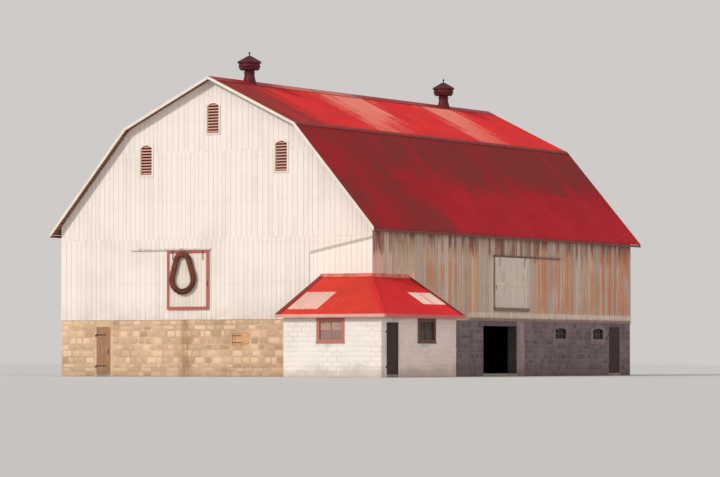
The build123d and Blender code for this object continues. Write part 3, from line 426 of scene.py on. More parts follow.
def board_wall(shells, face, span, top, tiers, holes, gap, rng, sizes, breaks, loose):
    """Vertical boards on a face, from the stones up to the function top, in tiers, cut round the
    holes. breaks are places across where the top bends or meets a tier, and loose scales how uneven
    the boards are. A board is a slab of five lines across: u runs straight with a slight bend, and
    out follows bow, eased at its edges."""
    strips = []
    for low, high in zip([BOARD_FOOT + 0.012, *tiers], [*tiers, math.inf]):
        edges = steps(*span, sizes.width, sizes.spread, rng)
        for left, right in zip(*sides_of(edges, gap / 2)):
            tone, stand = rng.random(), sizes.relief * rng.random() * loose
            drop = 0.012 * rng.uniform(-1, 1) * loose
            bend = rng.uniform(-1, 1, 2)[0] * 0.0015 * loose
            splits = [*breaks, *(c for hole in holes for c in hole.cuts)]
            cuts = [left, *sorted(c for c in splits if left < c < right), right]
            for a, b in zip(cuts[:-1], cuts[1:]):
                if b - a < 0.002:
                    continue
                pieces = [(np.full(2, low + drop), np.minimum(high, [top(a), top(b)]))]
                for hole in holes:
                    if hole.left < (a + b) / 2 < hole.right:
                        head = [hole.top(a), hole.top(b)]
                        pieces = [part for foot, ceiling in pieces for part in (
                            (foot, np.minimum(ceiling, hole.foot)), (np.maximum(foot, head), ceiling))]
                board = (a == left, b == right, tone, stand, left, right, bend)
                for foot, ceiling in pieces:
                    if (ceiling - foot).max() > 0.02:
                        strips.append((a, b, *foot, *np.maximum(ceiling, foot + 0.004), *board))
    a, b, foot0, foot1, top0, top1, is_left, is_right, tone, stand, left, right, bend = (
        np.array(strips, float).T[:, :, None, None])
    bevel = 0.003
    us = np.concatenate([a, a + bevel, (a + b) / 2, b - bevel, b], 2)
    share = (us - a) / (b - a)
    t = np.linspace(0, 1, 9)[None, :, None]
    foot = foot0 + (foot1 - foot0) * share
    v = foot + (top0 + (top1 - top0) * share - foot) * t
    u = us + bend * np.sin(math.pi * t)
    eased = bevel * np.concatenate([is_left, 0 * a, 0 * a, 0 * a, is_right], 2)
    out = np.minimum(stand - sizes.relief + bow(t, 0.0012 * loose, 40 * tone) - eased, -0.0005)
    lay = lay_of(tone, (u - left) / (right - left), v, right - left)
    shells.slabs(face.at(u, v, out), face.at(u, v, out - 0.024), lay)


def stones(shells, face, span, top, holes, sizes, rng, flat=False):
    """Coursed stones, or flat blocks, from the ground up to top. A stone is a square grid of s and t
    from -1 to 1 pulled in at its corners: u = s (1 - r t^4), v = t (1 - r s^4), and it stands out
    inside its own rim."""
    if flat:
        rows = np.arange(0.0, top, sizes.block_height)
        rows = np.append(rows[top - rows > 0.05], top)
        joint, line, lean, rough = 0.010, np.array([-1, -0.9, 0.9, 1]), 0.0, 0.0
    else:
        rows = steps(0.0, top, sizes.stone_height, 0.3, rng)
        joint, line, lean, rough = sizes.joint, np.array([-1, -0.72, 0, 0.72, 1]), 0.06, 0.004
    boxes = []
    for course, (low, high) in enumerate(zip(rows[:-1], rows[1:])):
        free = [span]
        for left, right, foot, head in holes:
            if foot < high - 0.02 and head > low + 0.02:
                free = [part for a, b in free for part in ((a, min(b, left)), (max(a, right), b))]
                free = [(a, b) for a, b in free if b - a > 0.08]
        for a, b in free:
            if flat:
                first = sizes.block_width * (math.floor(a / sizes.block_width) + 0.5 * (course % 2))
                edges = np.arange(first, b, sizes.block_width)
                edges = np.concatenate([[a], edges[(edges > a + 0.05) & (edges < b - 0.05)], [b]])
            else:
                edges = steps(a, b, sizes.stone_width * rng.uniform(0.8, 1.25), 0.45, rng)
            boxes += [(p, q, low, high) for p, q in zip(edges[:-1], edges[1:])]
    p, q, low, high = np.array(boxes).T[:, :, None, None]
    single = (len(boxes), 1, 1)
    s, t = np.meshgrid(line, line)
    pull = 0.0 if flat else rng.uniform(0.03, 0.16, single)
    skew = rng.uniform(-lean, lean, (2, *single))
    u = (p + q) / 2 + ((q - p) / 2 - joint / 2) * s * (1 - pull * t**4) * (1 - lean + skew[0] * t)
    v = (low + high) / 2 + ((high - low) / 2 - joint / 2) * t * (1 - pull * s**4) * (1 - lean + skew[1] * s)
    proud = 0.004 if flat else sizes.stone_proud * rng.uniform(0.45, 0.95, single)
    inner = np.maximum(abs(s), abs(t)) < 0.95
    out = proud * inner + rough * rng.uniform(-1, 0.2, (len(boxes), *s.shape)) * inner - 0.003 * ~inner
    lay = lay_of(rng.random(single), (s + 1) / 2, (t + 1) / 2, q - p)
    shells.slabs(face.at(u, v, out), face.at(u, v, -0.02), lay)


def rib_profile(ribs, height):
    """Shares across and heights of a sheet: a trapezoid rib at each end and pitch, low swages between."""
    share = np.array([0, 0.04, 0.11, 0.30, 0.335, 0.37, 0.63, 0.665, 0.70, 0.89, 0.96])
    level = np.array([1, 1, 0, 0, 0.22, 0, 0, 0.22, 0, 0, 1]) * height
    across = np.concatenate([(i + share) / ribs for i in range(ribs)] + [[1.0]])
    return across, np.concatenate([np.tile(level, ribs), [height]])


def ribbed(shells, face, left, right, v, ribs, height, tone, last, phase=0.0, wave=0.0):
    """Ribbed sheets between left and right, along v: out is the rib profile plus wave sin(9 v + phase)
    at mid width."""
    share, level = rib_profile(ribs, height)
    u = left + (right - left) * share
    out = level - height - 0.002 + wave * np.sin(9 * v + phase) * np.sin(math.pi * share)
    lay = lay_of(tone, share * ribs + 0 * u, v, last)
    shells.slabs(face.at(u, v, out), face.at(u, v, out - 0.003), lay)


def roof_sheets(shells, face, span, low, high, sizes, rng, look, rows=7):
    """Ribbed sheets on a slope, side by side over span, from low up to high, a number or a function
    of the place across. look gives the tone and the brown of a sheet."""
    count = max(1, round((span[1] - span[0]) / sizes.sheet_width))
    edges = np.linspace(*span, count + 1)[:, None, None]
    left, right = edges[:-1], edges[1:]
    if callable(high):
        high = high(left + (right - left) * rib_profile(sizes.ribs, sizes.rib_height)[0])
    v = low + (high - low) * np.linspace(0, 1, rows)[None, :, None]
    phase = rng.uniform(0, 6.3, (count, 1, 1))
    tone, brown = look((left + right) / 2, v, rng)
    ribbed(shells, face, left, right, v, sizes.ribs, sizes.rib_height, tone, brown, phase, 0.0015)


def domes(shells, face, us, vs, out, radius, sides=8):
    """Domed bolt heads: rings of radius cos a at height 0.6 radius sin a."""
    a, b = np.linspace(-0.35, math.pi / 2 - 0.15, 4)[:, None], turn(sides)[None]
    us, vs = (np.asarray(values)[..., None, None] for values in np.broadcast_arrays(us, vs))
    across, up = radius * np.cos(a) * np.cos(b), radius * np.cos(a) * np.sin(b)
    shells.tubes(face.at(us + across, vs + up, out + 0.6 * radius * np.sin(a)))


def handle(shells, face, u, v):
    """A pull: a back plate and a bowed grip, a circle section carried along half an ellipse."""
    shells.bars(face, u - 0.02, u + 0.02, v - 0.11, v + 0.11, -0.0005, 0.003, bevel=0.002)
    t, b = np.linspace(0, math.pi, 9)[:, None], turn(8)[None]
    ring_v = v - 0.075 * np.cos(t) - 0.006 * np.sin(b) * np.cos(t)
    ring_out = 0.003 + 0.03 * np.sin(t) + 0.006 * np.sin(b) * np.sin(t)
    shells.tubes(face.at(u + 0.006 * np.cos(b), ring_v, ring_out)[None])


# Finishes

def maths(operation, reflected=False):
    """A method of Wire that adds one Math node, with its values the other way round if reflected."""
    def method(self, other=0):
        first, second = (other, self) if reflected else (self, other)
        return self.finish.node("ShaderNodeMath", {0: first, 1: second}, operation=operation)
    return method


class Wire:
    """An output socket. Arithmetic on it adds Math nodes, so a mask is written as a formula."""
    __add__ = __radd__ = maths("ADD")
    __sub__, __rsub__ = maths("SUBTRACT"), maths("SUBTRACT", reflected=True)
    __mul__ = __rmul__ = maths("MULTIPLY")
    __truediv__, __mod__ = maths("DIVIDE"), maths("FLOORED_MODULO")
    most, size = maths("MAXIMUM"), maths("ABSOLUTE")

    def __init__(self, finish, socket):
        self.finish, self.socket = finish, socket


class Finish:
    """One material: a Principled shader and the nodes that vary it over the surface. place is the
    Object coordinate, and x, y and z are its three numbers."""

    def __init__(self, name, roughness=0.8, **constants):
        self.material = bpy.data.materials.new(name)
        self.material.use_nodes = True
        self.tree = self.material.node_tree
        self.shader = self.tree.nodes["Principled BSDF"]
        for socket, value in {"Roughness": roughness, **constants}.items():
            self.shader.inputs[socket.replace("_", " ")].default_value = value
        self.place = self.node("ShaderNodeTexCoord", out="Object")
        self.x, self.y, self.z = self.parts(self.place)

    def node(self, kind, sockets=None, out=0, **settings):
        """A node of a kind, its settings first, then the values or links of its sockets."""
        made = self.tree.nodes.new(kind)
        for key, value in settings.items():
            setattr(made, key, value)
        for key, value in (sockets or {}).items():
            if isinstance(value, Wire):
                self.tree.links.new(value.socket, made.inputs[key])
            elif made.inputs[key].type == "RGBA":
                made.inputs[key].default_value = (*value, 1)
            else:
                made.inputs[key].default_value = value
        return Wire(self, made.outputs[out])

    def parts(self, vector):
        """The three numbers of a vector."""
        split = self.node("ShaderNodeSeparateXYZ", {0: vector}).socket.node
        return [Wire(self, socket) for socket in split.outputs]

    def lay(self):
        """Tone, across, along and the fourth value of a piece's lay."""
        vector = self.node("ShaderNodeAttribute", out="Vector", attribute_name="lay")
        return *self.parts(vector), Wire(self, vector.socket.node.outputs["Alpha"])

    def vector(self, x, y, z):
        return self.node("ShaderNodeCombineXYZ", {0: x, 1: y, 2: z})

    def noise(self, where, scale, detail, roughness):
        sockets = {"Vector": where, "Scale": scale, "Detail": detail, "Roughness": roughness}
        return self.node("ShaderNodeTexNoise", sockets)

    def cloud(self, scale, detail=4, roughness=0.6):
        """Noise over the place on the object."""
        return self.noise(self.place, scale, detail, roughness)

    def stretched(self, scales, detail, roughness=0.55, values=None):
        """Noise over three values, each times its own scale: the place's own if none are given."""
        values = values or (self.x, self.y, self.z)
        where = self.vector(*(value * scale for value, scale in zip(values, scales)))
        return self.noise(where, 1, detail, roughness)

    def cells(self, where, scale, **settings):
        """Distance to the nearest of scattered points, or what the settings ask for."""
        return self.node("ShaderNodeTexVoronoi", {"Vector": where, "Scale": scale}, **settings)

    def between(self, value, start, end, low=0, high=1):
        """Smooth step from low at start to high at end."""
        sockets = {"Value": value, "From Min": start, "From Max": end, "To Min": low, "To Max": high}
        return self.node("ShaderNodeMapRange", sockets, interpolation_type="SMOOTHSTEP")

    def fall(self, value, start, end):
        """Smooth step from 1 at start to 0 at end."""
        return self.between(value, start, end, 1, 0)

    def band(self, value, start, end, soft):
        """1 between start and end, falling to 0 over soft outside them."""
        return self.between(value, start - soft, start) * self.fall(value, end, end + soft)

    def mix(self, factor, first, second, blend="MIX"):
        sockets = {0: factor, 6: first, 7: second}
        return self.node("ShaderNodeMix", sockets, out=2, data_type="RGBA", blend_type=blend)

    def tones(self, factor, colour, dark, light):
        """A fixed colour from dark times itself at factor 0 to light times itself at factor 1."""
        return self.mix(factor, times(colour, dark), times(colour, light))

    def shade(self, colour, factor):
        """The colour times a number."""
        grey = self.node("ShaderNodeCombineColor", {0: factor, 1: factor, 2: factor})
        return self.mix(1, colour, grey, "MULTIPLY")

    def done(self, colour, height=None, roughness=None, distance=0.004, strength=0.8):
        """Links the colour, the bump of a height in its distance, and the roughness."""
        links = {"Base Color": colour}
        if roughness is not None:
            links["Roughness"] = roughness
        if height is not None:
            sockets = {"Height": height, "Distance": distance, "Strength": strength}
            links["Normal"] = self.node("ShaderNodeBump", sockets)
        for socket, wire in links.items():
            self.tree.links.new(wire.socket, self.shader.inputs[socket])
        return self.material


def mixed(first, second, share):
    """A colour between two, worked out in numbers."""
    return tuple(a + (b - a) * share for a, b in zip(first, second))


def times(colour, factor):
    return tuple(c * factor for c in colour)


def by_axis(axis, along, across):
    """Three scales: along on one axis and across on the other two."""
    return [along if letter == axis else across for letter in "xyz"]


# Heights of the nail rows on the wall boards, and the rust under a nail
GIRTS = (BOARD_FOOT + 0.12, 3.9, 5.55, 7.3, 9.1, 10.6)
NAIL_RUST = srgb(96, 58, 40)


def board_finish(name, paint, bare, worn=0.3, spread=0.35, nails=(), patches=(), marks=None, grey=0.5,
                 edge=0.5, soil=0.35):
    """Painted or bare vertical boards: grain along the board, tone by board, dark joints, rusty nails and
    a splashed foot. patches are (start, end, low, high, colour, strength) along the wall and up it, and
    take whole boards here and there at their sides."""
    f = Finish(name, 0.82)
    tone, across, along, width = f.lay()
    board = (across * width, along, tone)
    grain = f.stretched((42, 1.3, 91), 5, 0.62, board)
    fibre = f.stretched((190, 5.5, 53), 2, 0.5, board)
    blotch = f.stretched((9, 0.8, 37), 4, 0.65, board)
    knots = f.fall(f.cells(f.vector(board[0] * 7, along * 0.9, tone * 71), 1), 0.05, 0.11)
    cloud = f.cloud(0.55, 3, 0.55)
    wear = f.between(blotch + (cloud - 0.5) * 0.7 + grain * 0.25, 1.02 - worn, 1.18 - worn)
    foot = f.fall(f.z, BOARD_FOOT, BOARD_FOOT + 1.1)
    wear = wear.most(foot * f.between(grain, 0.42, 0.62) * min(1, worn * 2.2))
    base = f.tones(f.between(tone, 0, 1), bare, 0.82, 1.1)
    if patches:
        odd = (tone * 17.7) % 1
        ragged = f.between(blotch * 0.8 + odd * 0.45 + (cloud - 0.5) * 0.5, 0.35, 0.85)
        along_wall, up_wall = f.y + (tone - 0.5) * 1.5, f.z + (blotch - 0.5) * 1.8
    for start, end, low, high, colour, strength in patches:
        where = f.band(along_wall, start, end, 0.3) * f.band(up_wall, low, high, 0.45)
        base = f.mix(where * ragged * strength, base, f.tones(odd, colour, 0.78, 1.12))
    base = f.mix(f.between(grain, 0.3, 0.75) * grey, base, f.shade(base, 0.62))
    painted = f.tones(f.between(cloud + tone * spread, 0.35, 0.35 + spread * 1.6), paint, 0.90, 1)
    colour = f.mix(wear, painted, base)
    if marks:
        colour = marks(f, colour, blotch)
    colour = f.shade(colour, 1 - 0.14 * f.between(fibre, 0.45, 0.8) * (0.35 + wear * 0.65))
    colour = f.mix(knots * (0.25 + wear * 0.6), colour, times(bare, 0.35))
    from_middle = (across - 0.5).size()
    joint = f.between(from_middle * width, width * 0.5 - 0.008, width * 0.5 - 0.001)
    colour = f.mix(joint * edge, colour, times(bare, 0.25))
    if nails:
        marked, ragged = 0, f.between(grain, 0.35, 0.6)
        for girt in nails:
            head = f.fall((f.z - girt).size(), 0, 0.014)
            streak = f.between(f.z, girt - 0.22, girt, 0, 0.55) * f.fall(f.z, girt, girt + 0.004)
            marked = head.most(streak * ragged).most(marked)
        column = f.fall((from_middle - 0.32).size() * width, 0.002, 0.010)
        colour = f.mix(marked * column * 0.6, colour, NAIL_RUST)
    dirt = foot * f.between(f.cloud(2.2, 4, 0.55), 0.35, 0.7) * soil
    colour = f.mix(dirt, colour, times(bare, 0.5))
    height = grain * 0.6 + fibre * 0.4 + wear * 0.15 - knots * 0.4
    return f.done(colour, height, 0.7 + 0.2 * grain, distance=0.0025, strength=0.9)


def side_marks(f, colour, blotch):
    """A dark foot along the long side, past the annex, sodden wood with painted shade under the sill, and a
    pale splashed band over it.
    """
    reach = f.band(f.y, -3.4, 12, 0.6) * 0.75
    height = f.z + (blotch - 0.5) * 0.12
    splashed = f.band(height, BOARD_FOOT + 0.20, BOARD_FOOT + 0.34, 0.06)
    # The dark foot is sodden wood and painted shade under the sill.
    soaked_and_shaded = f.fall(height, BOARD_FOOT + 0.10, BOARD_FOOT + 0.17)
    colour = f.mix(splashed * reach, colour, srgb(238, 218, 200))
    return f.mix(soaked_and_shaded * reach, colour, srgb(112, 88, 80))


def gable_marks(f, colour, blotch):
    """Fresher paint below the sloping trace of an older roof over the annex, with a faint edge."""
    left, foot, rise = 4.66, 5.05, 0.2
    over = f.z - (foot + (f.x - left) * rise)
    inside = f.between(f.x, left - 0.03, left + 0.03)
    fresh = inside * f.fall(over, -0.03, 0.03)
    line = inside * f.fall(over.size(), 0.03, 0.10)
    side = f.fall((f.x - left).size(), 0.02, 0.06) * f.fall(over, 0, 0.05)
    colour = f.mix(fresh * 0.5, colour, srgb(252, 243, 232))
    return f.mix(line.most(side * 0.5) * 0.6, colour, srgb(160, 142, 128))


def rail_marks(f, colour, blotch):
    """A dark bottom rail on the long side's sliding door: sodden wood with painted shade of the gap under it.
    """
    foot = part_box("side_door")[0].z
    # The dark bottom rail is sodden wood and painted shade of the gap under the door.
    soaked_and_shaded = f.fall(f.z + (blotch - 0.5) * 0.08, foot + 0.12, foot + 0.17)
    return f.mix(soaked_and_shaded * 0.85, colour, srgb(104, 76, 64))


def door_stain(f, colour):
    """A rusty run down the front foundation below the sliding door."""
    drips = f.stretched((14, 1, 1.1), 5, 0.65)
    wander = f.stretched((1, 1, 1.6), 2)
    run = f.fall((f.x + 1.38 + (wander - 0.5) * 0.5).size(), 0, 0.42)
    run = run * f.fall(f.y, -STONE_Y + 0.1, -STONE_Y + 0.2)
    return f.mix(run * f.between(drips, 0.28, 0.66, 0.25, 1), colour, srgb(160, 120, 92))


def stone_finish(name, base, other, splash=0.5, darkest=0.66):
    """Rubble stone: tone by stone, mineral cloud, pits and chips, soiled towards the ground, with painted
    shade round each rim.
    """
    f = Finish(name, 0.88)
    tone, s, t, _ = f.lay()
    shift = f.vector(tone * 13, tone * 7, tone * 3)
    shifted = f.node("ShaderNodeVectorMath", {0: f.place, 1: shift}, operation="ADD")
    cloud, fine = f.noise(shifted, 5.5, 5, 0.62), f.noise(shifted, 38, 4, 0.6)
    pits = f.between(f.cells(shifted, 55), 0, 0.28)
    lightest = mixed(times(base, 1.22), other, 0.25)
    colour = f.mix(f.between(tone, 0.1, 0.9), times(base, darkest), lightest)
    colour = f.mix(f.between(cloud, 0.38, 0.68) * 0.55, colour, other)
    odd = f.between((tone * 7.3) % 1, 0.86, 0.9)
    colour = f.mix(odd * 0.55, colour, mixed(times(base, 0.6), (0.25, 0.12, 0.08), 0.35))
    colour = f.shade(colour, 0.82 + 0.3 * fine)
    lichen = f.between(f.cloud(1.7, 6, 0.7), 0.6, 0.72) * 0.25
    colour = f.mix(lichen, colour, mixed(base, srgb(190, 186, 160), 0.6))
    # Painted shade: each stone is darker round its rim, where it turns into the joint.
    rim = f.between((s - 0.5).size().most((t - 0.5).size()), 0.40, 0.5)
    colour = door_stain(f, f.shade(colour, 1 - 0.22 * rim))
    damp = f.fall(f.z + (cloud - 0.5) * 0.8, 0.05, 0.75) * splash
    colour = f.mix(damp, colour, times(mixed(base, (0.09, 0.075, 0.055), 0.6), 0.8))
    return f.done(colour, cloud * 0.5 + fine * 0.5 + pits * 0.35, 0.8 + 0.15 * fine, distance=0.008)


def mortar_finish(name, base, splash=0.5, scale=1, reveal_shade=1):
    """Lime mortar or parging: sandy, cloudy, hair-cracked, soiled towards the ground. reveal_shade is the
    share of brightness left inside the doorways and windows of the long sides: painted shade in the reveals."""
    f = Finish(name, 0.92)
    cloud, mottled, sand = f.cloud(0.9 * scale, 5), f.cloud(7 * scale), f.cloud(150, 2, 0.55)
    cracks = f.fall(f.cells(f.place, 1.6 * scale, feature="DISTANCE_TO_EDGE"), 0, 0.006)
    colour = f.shade(f.tones(f.between(cloud, 0.35, 0.65), base, 0.76, 1.10), 0.78 + 0.42 * mottled)
    colour = f.mix(cracks * f.between(cloud, 0.4, 0.6) * 0.5, colour, times(base, 0.45))
    damp = f.fall(f.z + (mottled - 0.5) * 0.6, 0.04, 0.65) * splash
    colour = f.mix(damp, colour, times(mixed(base, (0.10, 0.08, 0.06), 0.55), 0.85))
    colour = door_stain(f, colour)
    # Painted shade: faces set back inside the reveals are darkened.
    if reveal_shade < 1:
        colour = f.shade(colour, f.between(f.x.size(), STONE_X - 0.05, STONE_X - 0.015, reveal_shade, 1))
    return f.done(colour, sand * 0.3 + mottled * 0.7 - cracks * 0.4)


def lintel_finish(name, front, side):
    """Sawn stone lintels: tan in the gable's foundation, grey in the long sides'."""
    f = Finish(name, 0.88)
    cloud, sand = f.cloud(4), f.cloud(120, 2, 0.55)
    tooled = f.stretched((60, 60, 9), 2)
    at_front = f.fall(f.y, -HALF_LENGTH + 0.5, -HALF_LENGTH + 0.6)
    colour = f.shade(f.mix(at_front, side, front), 0.8 + 0.4 * cloud)
    return f.done(colour, sand * 0.4 + tooled * 0.6)


def block_finish(name, base):
    """Whitewashed blocks: brushed limewash, thin places, flakes, streaks, a soiled foot, and painted shade on
    the side face.
    """
    f = Finish(name, 0.9)
    tone = f.lay()[0]
    cloud, pores = f.cloud(1.2), f.cloud(60, 3)
    streaks = f.stretched((9, 9, 0.7), 4, 0.6)
    # Painted shade: the side face, away from the light, is pinker and darker.
    base = f.mix(f.between(f.x, ANNEX_X - 0.05, ANNEX_X - 0.01), base, srgb(240, 216, 208))
    colour = f.shade(base, f.between(cloud + tone * 0.3, 0.4, 0.9, 0.92, 1))
    thin = f.between(streaks + (pores - 0.5) * 0.5 + tone * 0.1, 0.66, 0.82)
    colour = f.mix(thin * 0.45, colour, srgb(196, 186, 178))
    damp = f.fall(f.z + (cloud - 0.5) * 0.9, 0.05, 0.6)
    colour = f.mix(damp * 0.5, colour, srgb(150, 132, 112))
    height = pores * 0.6 + cloud * 0.2 - thin * 0.25
    return f.done(colour, height, 0.82 + 0.12 * pores, distance=0.003)


def roof_finish(name, red, faded, brown, foot_rust=0.5):
    """Painted ribbed sheets: tone by sheet, chalky streaks down the slope, rust at laps and screws."""
    f = Finish(name, 0.5, Specular_IOR_Level=0.08)
    rows = 0.62
    tone, across, along, bare = f.lay()
    sheet = (across, along, tone)
    streak, fine = f.stretched((1.7, 0.35, 61), 5, 0.65, sheet), f.stretched((14, 1.2, 29), 3, 0.6, sheet)
    cloud, speck = f.cloud(0.45), f.cloud(26, 4, 0.7)
    chalk = f.between(tone + (streak - 0.5) * 1 + (cloud - 0.5) * 0.45, 0.5, 1.15)
    colour = f.tones(f.between(cloud + fine * 0.3, 0.4, 0.95), red, 0.80, 1.08)
    colour = f.mix(chalk * 0.9, colour, faded)
    stained = f.between(bare + (streak - 0.5) * 0.8 + (cloud - 0.5) * 1.3, 0.3, 0.9)
    colour = f.mix(stained * 0.8, colour, f.tones(f.between(speck, 0.35, 0.65), brown, 1, 0.75))
    runs = f.between(fine + (speck - 0.5) * 0.4, 0.62, 0.8) * f.between(streak, 0.45, 0.65)
    colour = f.mix(runs * 0.35, colour, times(brown, 0.8))
    from_rib = ((across + 0.5) % 1 - 0.5).size()
    on_rib = f.fall(from_rib, 0.03, 0.045)
    step = ((along / rows + 0.5) % 1 - 0.5) * rows
    screw = on_rib * f.fall(step.size(), 0.008, 0.012)
    weep = on_rib * f.between(step, -0.16, 0) * f.fall(step, 0, 0.004)
    colour = f.mix(weep * 0.2, colour, times(brown, 0.8))
    colour = f.mix(screw * 0.8, colour, times(brown, 0.6))
    dusty = f.between(f.fall(from_rib, 0.10, 0.13), 0.2, 0.8) * 0.06
    colour = f.mix(dusty, colour, faded)
    rust = f.fall(along + (speck - 0.5) * 0.25, 0.02, 0.14) * foot_rust
    colour = f.mix(rust * f.between(speck, 0.4, 0.6), colour, times(brown, 0.7))
    roughness = 0.56 + 0.2 * chalk + 0.15 * stained
    return f.done(colour, speck * 0.4 + screw * 1.5, roughness, distance=0.002, strength=0.6)


def sheet_metal_finish(name, base, rust):
    """Painted sheet without a lay: cloudy paint, drips and rusty speckle."""
    f = Finish(name, 0.5, Specular_IOR_Level=0.2)
    cloud, speck, drips = f.cloud(3), f.cloud(45, 4, 0.7), f.stretched((22, 22, 1.5), 4, 0.6)
    colour = f.tones(f.between(cloud * 0.6 + drips * 0.4, 0.36, 0.64), base, 0.68, 1.25)
    corroded = f.between(speck * 0.5 + drips * 0.6, 0.55, 0.72) * rust
    colour = f.mix(corroded, colour, srgb(104, 56, 38))
    return f.done(colour, speck, 0.5 + 0.3 * corroded, distance=0.0015, strength=0.6)


def ridge_finish(name, base, faded):
    """The ridge cap: dark red by the ventilators, chalked pale in the stretch between them."""
    f = Finish(name, 0.55, Specular_IOR_Level=0.25)
    cloud, speck = f.cloud(1.1, 4, 0.65), f.cloud(40, 4, 0.65)
    pale = f.band(f.y + (cloud - 0.5) * 3, -6.3, -1.6, 1.6)
    colour = f.mix(pale * 0.6, f.tones(f.between(cloud, 0.3, 0.7), base, 0.75, 1.2), faded)
    colour = f.mix(f.between(speck + (cloud - 0.5), 0.6, 0.75) * 0.5, colour, srgb(104, 56, 44))
    return f.done(colour, speck, distance=0.0015)


def paint_finish(name, base, bare, worn=0.25, axis="z", shaded_side_colour=None):
    """Painted wood trim with no lay: grain along one axis, brush marks, chipped places and grime.
    shaded_side_colour is the darker, redder colour past the annex's front, where it differs: painted shade."""
    f = Finish(name, 0.65)
    grain = f.stretched(by_axis(axis, 1, 28), 5, 0.62)
    cloud, speck = f.cloud(1.3), f.cloud(30, 4, 0.65)
    if shaded_side_colour:
        # Painted shade: past the annex's front the trim takes the darker, redder colour.
        base = f.mix(f.between(f.y, ANNEX_EAVE_Y + 0.01, ANNEX_EAVE_Y + 0.06), base, shaded_side_colour)
        colour = f.shade(base, f.between(cloud, 0.3, 0.7, 0.88, 1.04))
    else:
        colour = f.tones(f.between(cloud, 0.3, 0.7), base, 0.88, 1.04)
    chipped = f.between(grain * 0.6 + speck * 0.4 + cloud * 0.2, 0.78 - worn * 0.35, 0.86 - worn * 0.35)
    colour = f.shade(f.mix(chipped * 0.8, colour, bare), 0.9 + 0.18 * grain)
    return f.done(colour, grain * 0.7 - chipped * 0.5, 0.55 + 0.3 * chipped, distance=0.002, strength=0.7)


def timber_finish(name, base, axis):
    """Hewn timber: adze cuts across, checks along one axis, dusty and darker in places."""
    f = Finish(name, 0.85)
    grain = f.stretched(by_axis(axis, 0.8, 24), 5, 0.62)
    hewn = f.stretched(by_axis(axis, 7, 1.5), 2)
    cloud = f.cloud(0.8, 4, 0.55)
    checks = f.between(grain, 0.62, 0.68) * f.between(cloud, 0.45, 0.55)
    colour = f.tones(f.between(grain, 0.3, 0.7), base, 0.72, 1.12)
    dusty = times(mixed(base, (0.3, 0.28, 0.25), 0.5), 0.9)
    colour = f.mix(f.between(cloud, 0.35, 0.7) * 0.4, colour, dusty)
    colour = f.mix(checks * 0.7, colour, times(base, 0.25))
    return f.done(colour, grain * 0.4 + hewn * 0.6 - checks * 0.5, distance=0.006)


def window_finish(name):
    """Window frames and bars of the annex: red brown in front, darker at the side as painted shade."""
    f = Finish(name, 0.65)
    grain, speck = f.stretched((20, 20, 2), 4, 0.6), f.cloud(30, 4, 0.65)
    side_shade = f.between(f.y, ANNEX_Y + 0.15, ANNEX_Y + 0.3)
    # Painted shade: the frames at the side are a darker brown.
    colour = f.shade(f.mix(side_shade, srgb(184, 112, 94), srgb(104, 70, 58)), 0.78 + 0.4 * grain)
    colour = f.mix(f.between(speck, 0.62, 0.7) * 0.5, colour, srgb(160, 134, 110))
    return f.done(colour, grain, distance=0.002)


def forged_iron():
    """Forged iron for every hinge, bolt and pull, made once: dark scale with rust."""
    made = bpy.data.materials.get("forged_iron")
    if made:
        return made
    f = Finish("forged_iron", 0.6, Metallic=0.6)
    speck, cloud = f.cloud(70, 4, 0.65), f.cloud(9, 3, 0.55)
    rust = f.between(speck * 0.6 + cloud * 0.5, 0.52, 0.68)
    colour = f.mix(rust * 0.75, (0.055, 0.045, 0.04), srgb(112, 62, 40))
    return f.done(colour, speck, 0.5 + 0.35 * rust, distance=0.001)


def track_finish(name, paint):
    """Door tracks: cream paint on the gable's, bare rusty steel on the long side's."""
    f = Finish(name, 0.6)
    speck, runs = f.cloud(38, 4, 0.65), f.stretched((3, 3, 0.6), 3)
    chipped = f.between(speck * 0.6 + runs * 0.5, 0.56, 0.68)
    painted = f.mix(chipped, times(paint, 0.82), srgb(132, 92, 74))
    steel = f.mix(f.between(speck, 0.4, 0.65), srgb(122, 104, 94), srgb(110, 68, 52))
    colour = f.mix(f.between(f.y, -HALF_LENGTH + 0.1, -HALF_LENGTH + 0.2), painted, steel)
    return f.done(colour, speck, distance=0.001)


def glass_finish(name):
    """Old window glass: dark, dusty towards the edges and slightly wavy, clouded at the annex's side and
    made pale in its front by a painted reflection of the bright sky."""
    f = Finish(name, 0.08, Transmission_Weight=0.5, IOR=1.25, Specular_IOR_Level=0.2)
    dust, wave = f.cloud(5), f.cloud(7, 1, 0.55)
    colour = f.mix(f.between(dust, 0.4, 0.8), (0.012, 0.010, 0.012), (0.055, 0.045, 0.042))
    middle = (ANNEX_SILL + ANNEX_LINTEL) / 2
    clouded = f.between(f.x, HALF_WIDTH + 1, HALF_WIDTH + 1.2)
    clouded = clouded * f.between(f.z, middle - 0.1, middle + 0.25, 1, 0.5)
    colour = f.mix(clouded, colour, srgb(112, 94, 86))
    # Painted reflection of the bright sky pales the front panes, less in their lower half.
    painted_reflection = f.fall(f.y, ANNEX_Y + 0.15, ANNEX_Y + 0.3)
    painted_reflection = painted_reflection * f.between(f.z, middle - 0.05, middle + 0.05, 0.72, 1)
    colour = f.mix(painted_reflection * f.between(dust, 0.1, 0.5, 0.75, 1), colour, srgb(226, 196, 184))
    roughness = 0.06 + 0.3 * f.between(dust, 0.45, 0.8)
    return f.done(colour, wave, roughness, distance=0.003, strength=0.4)


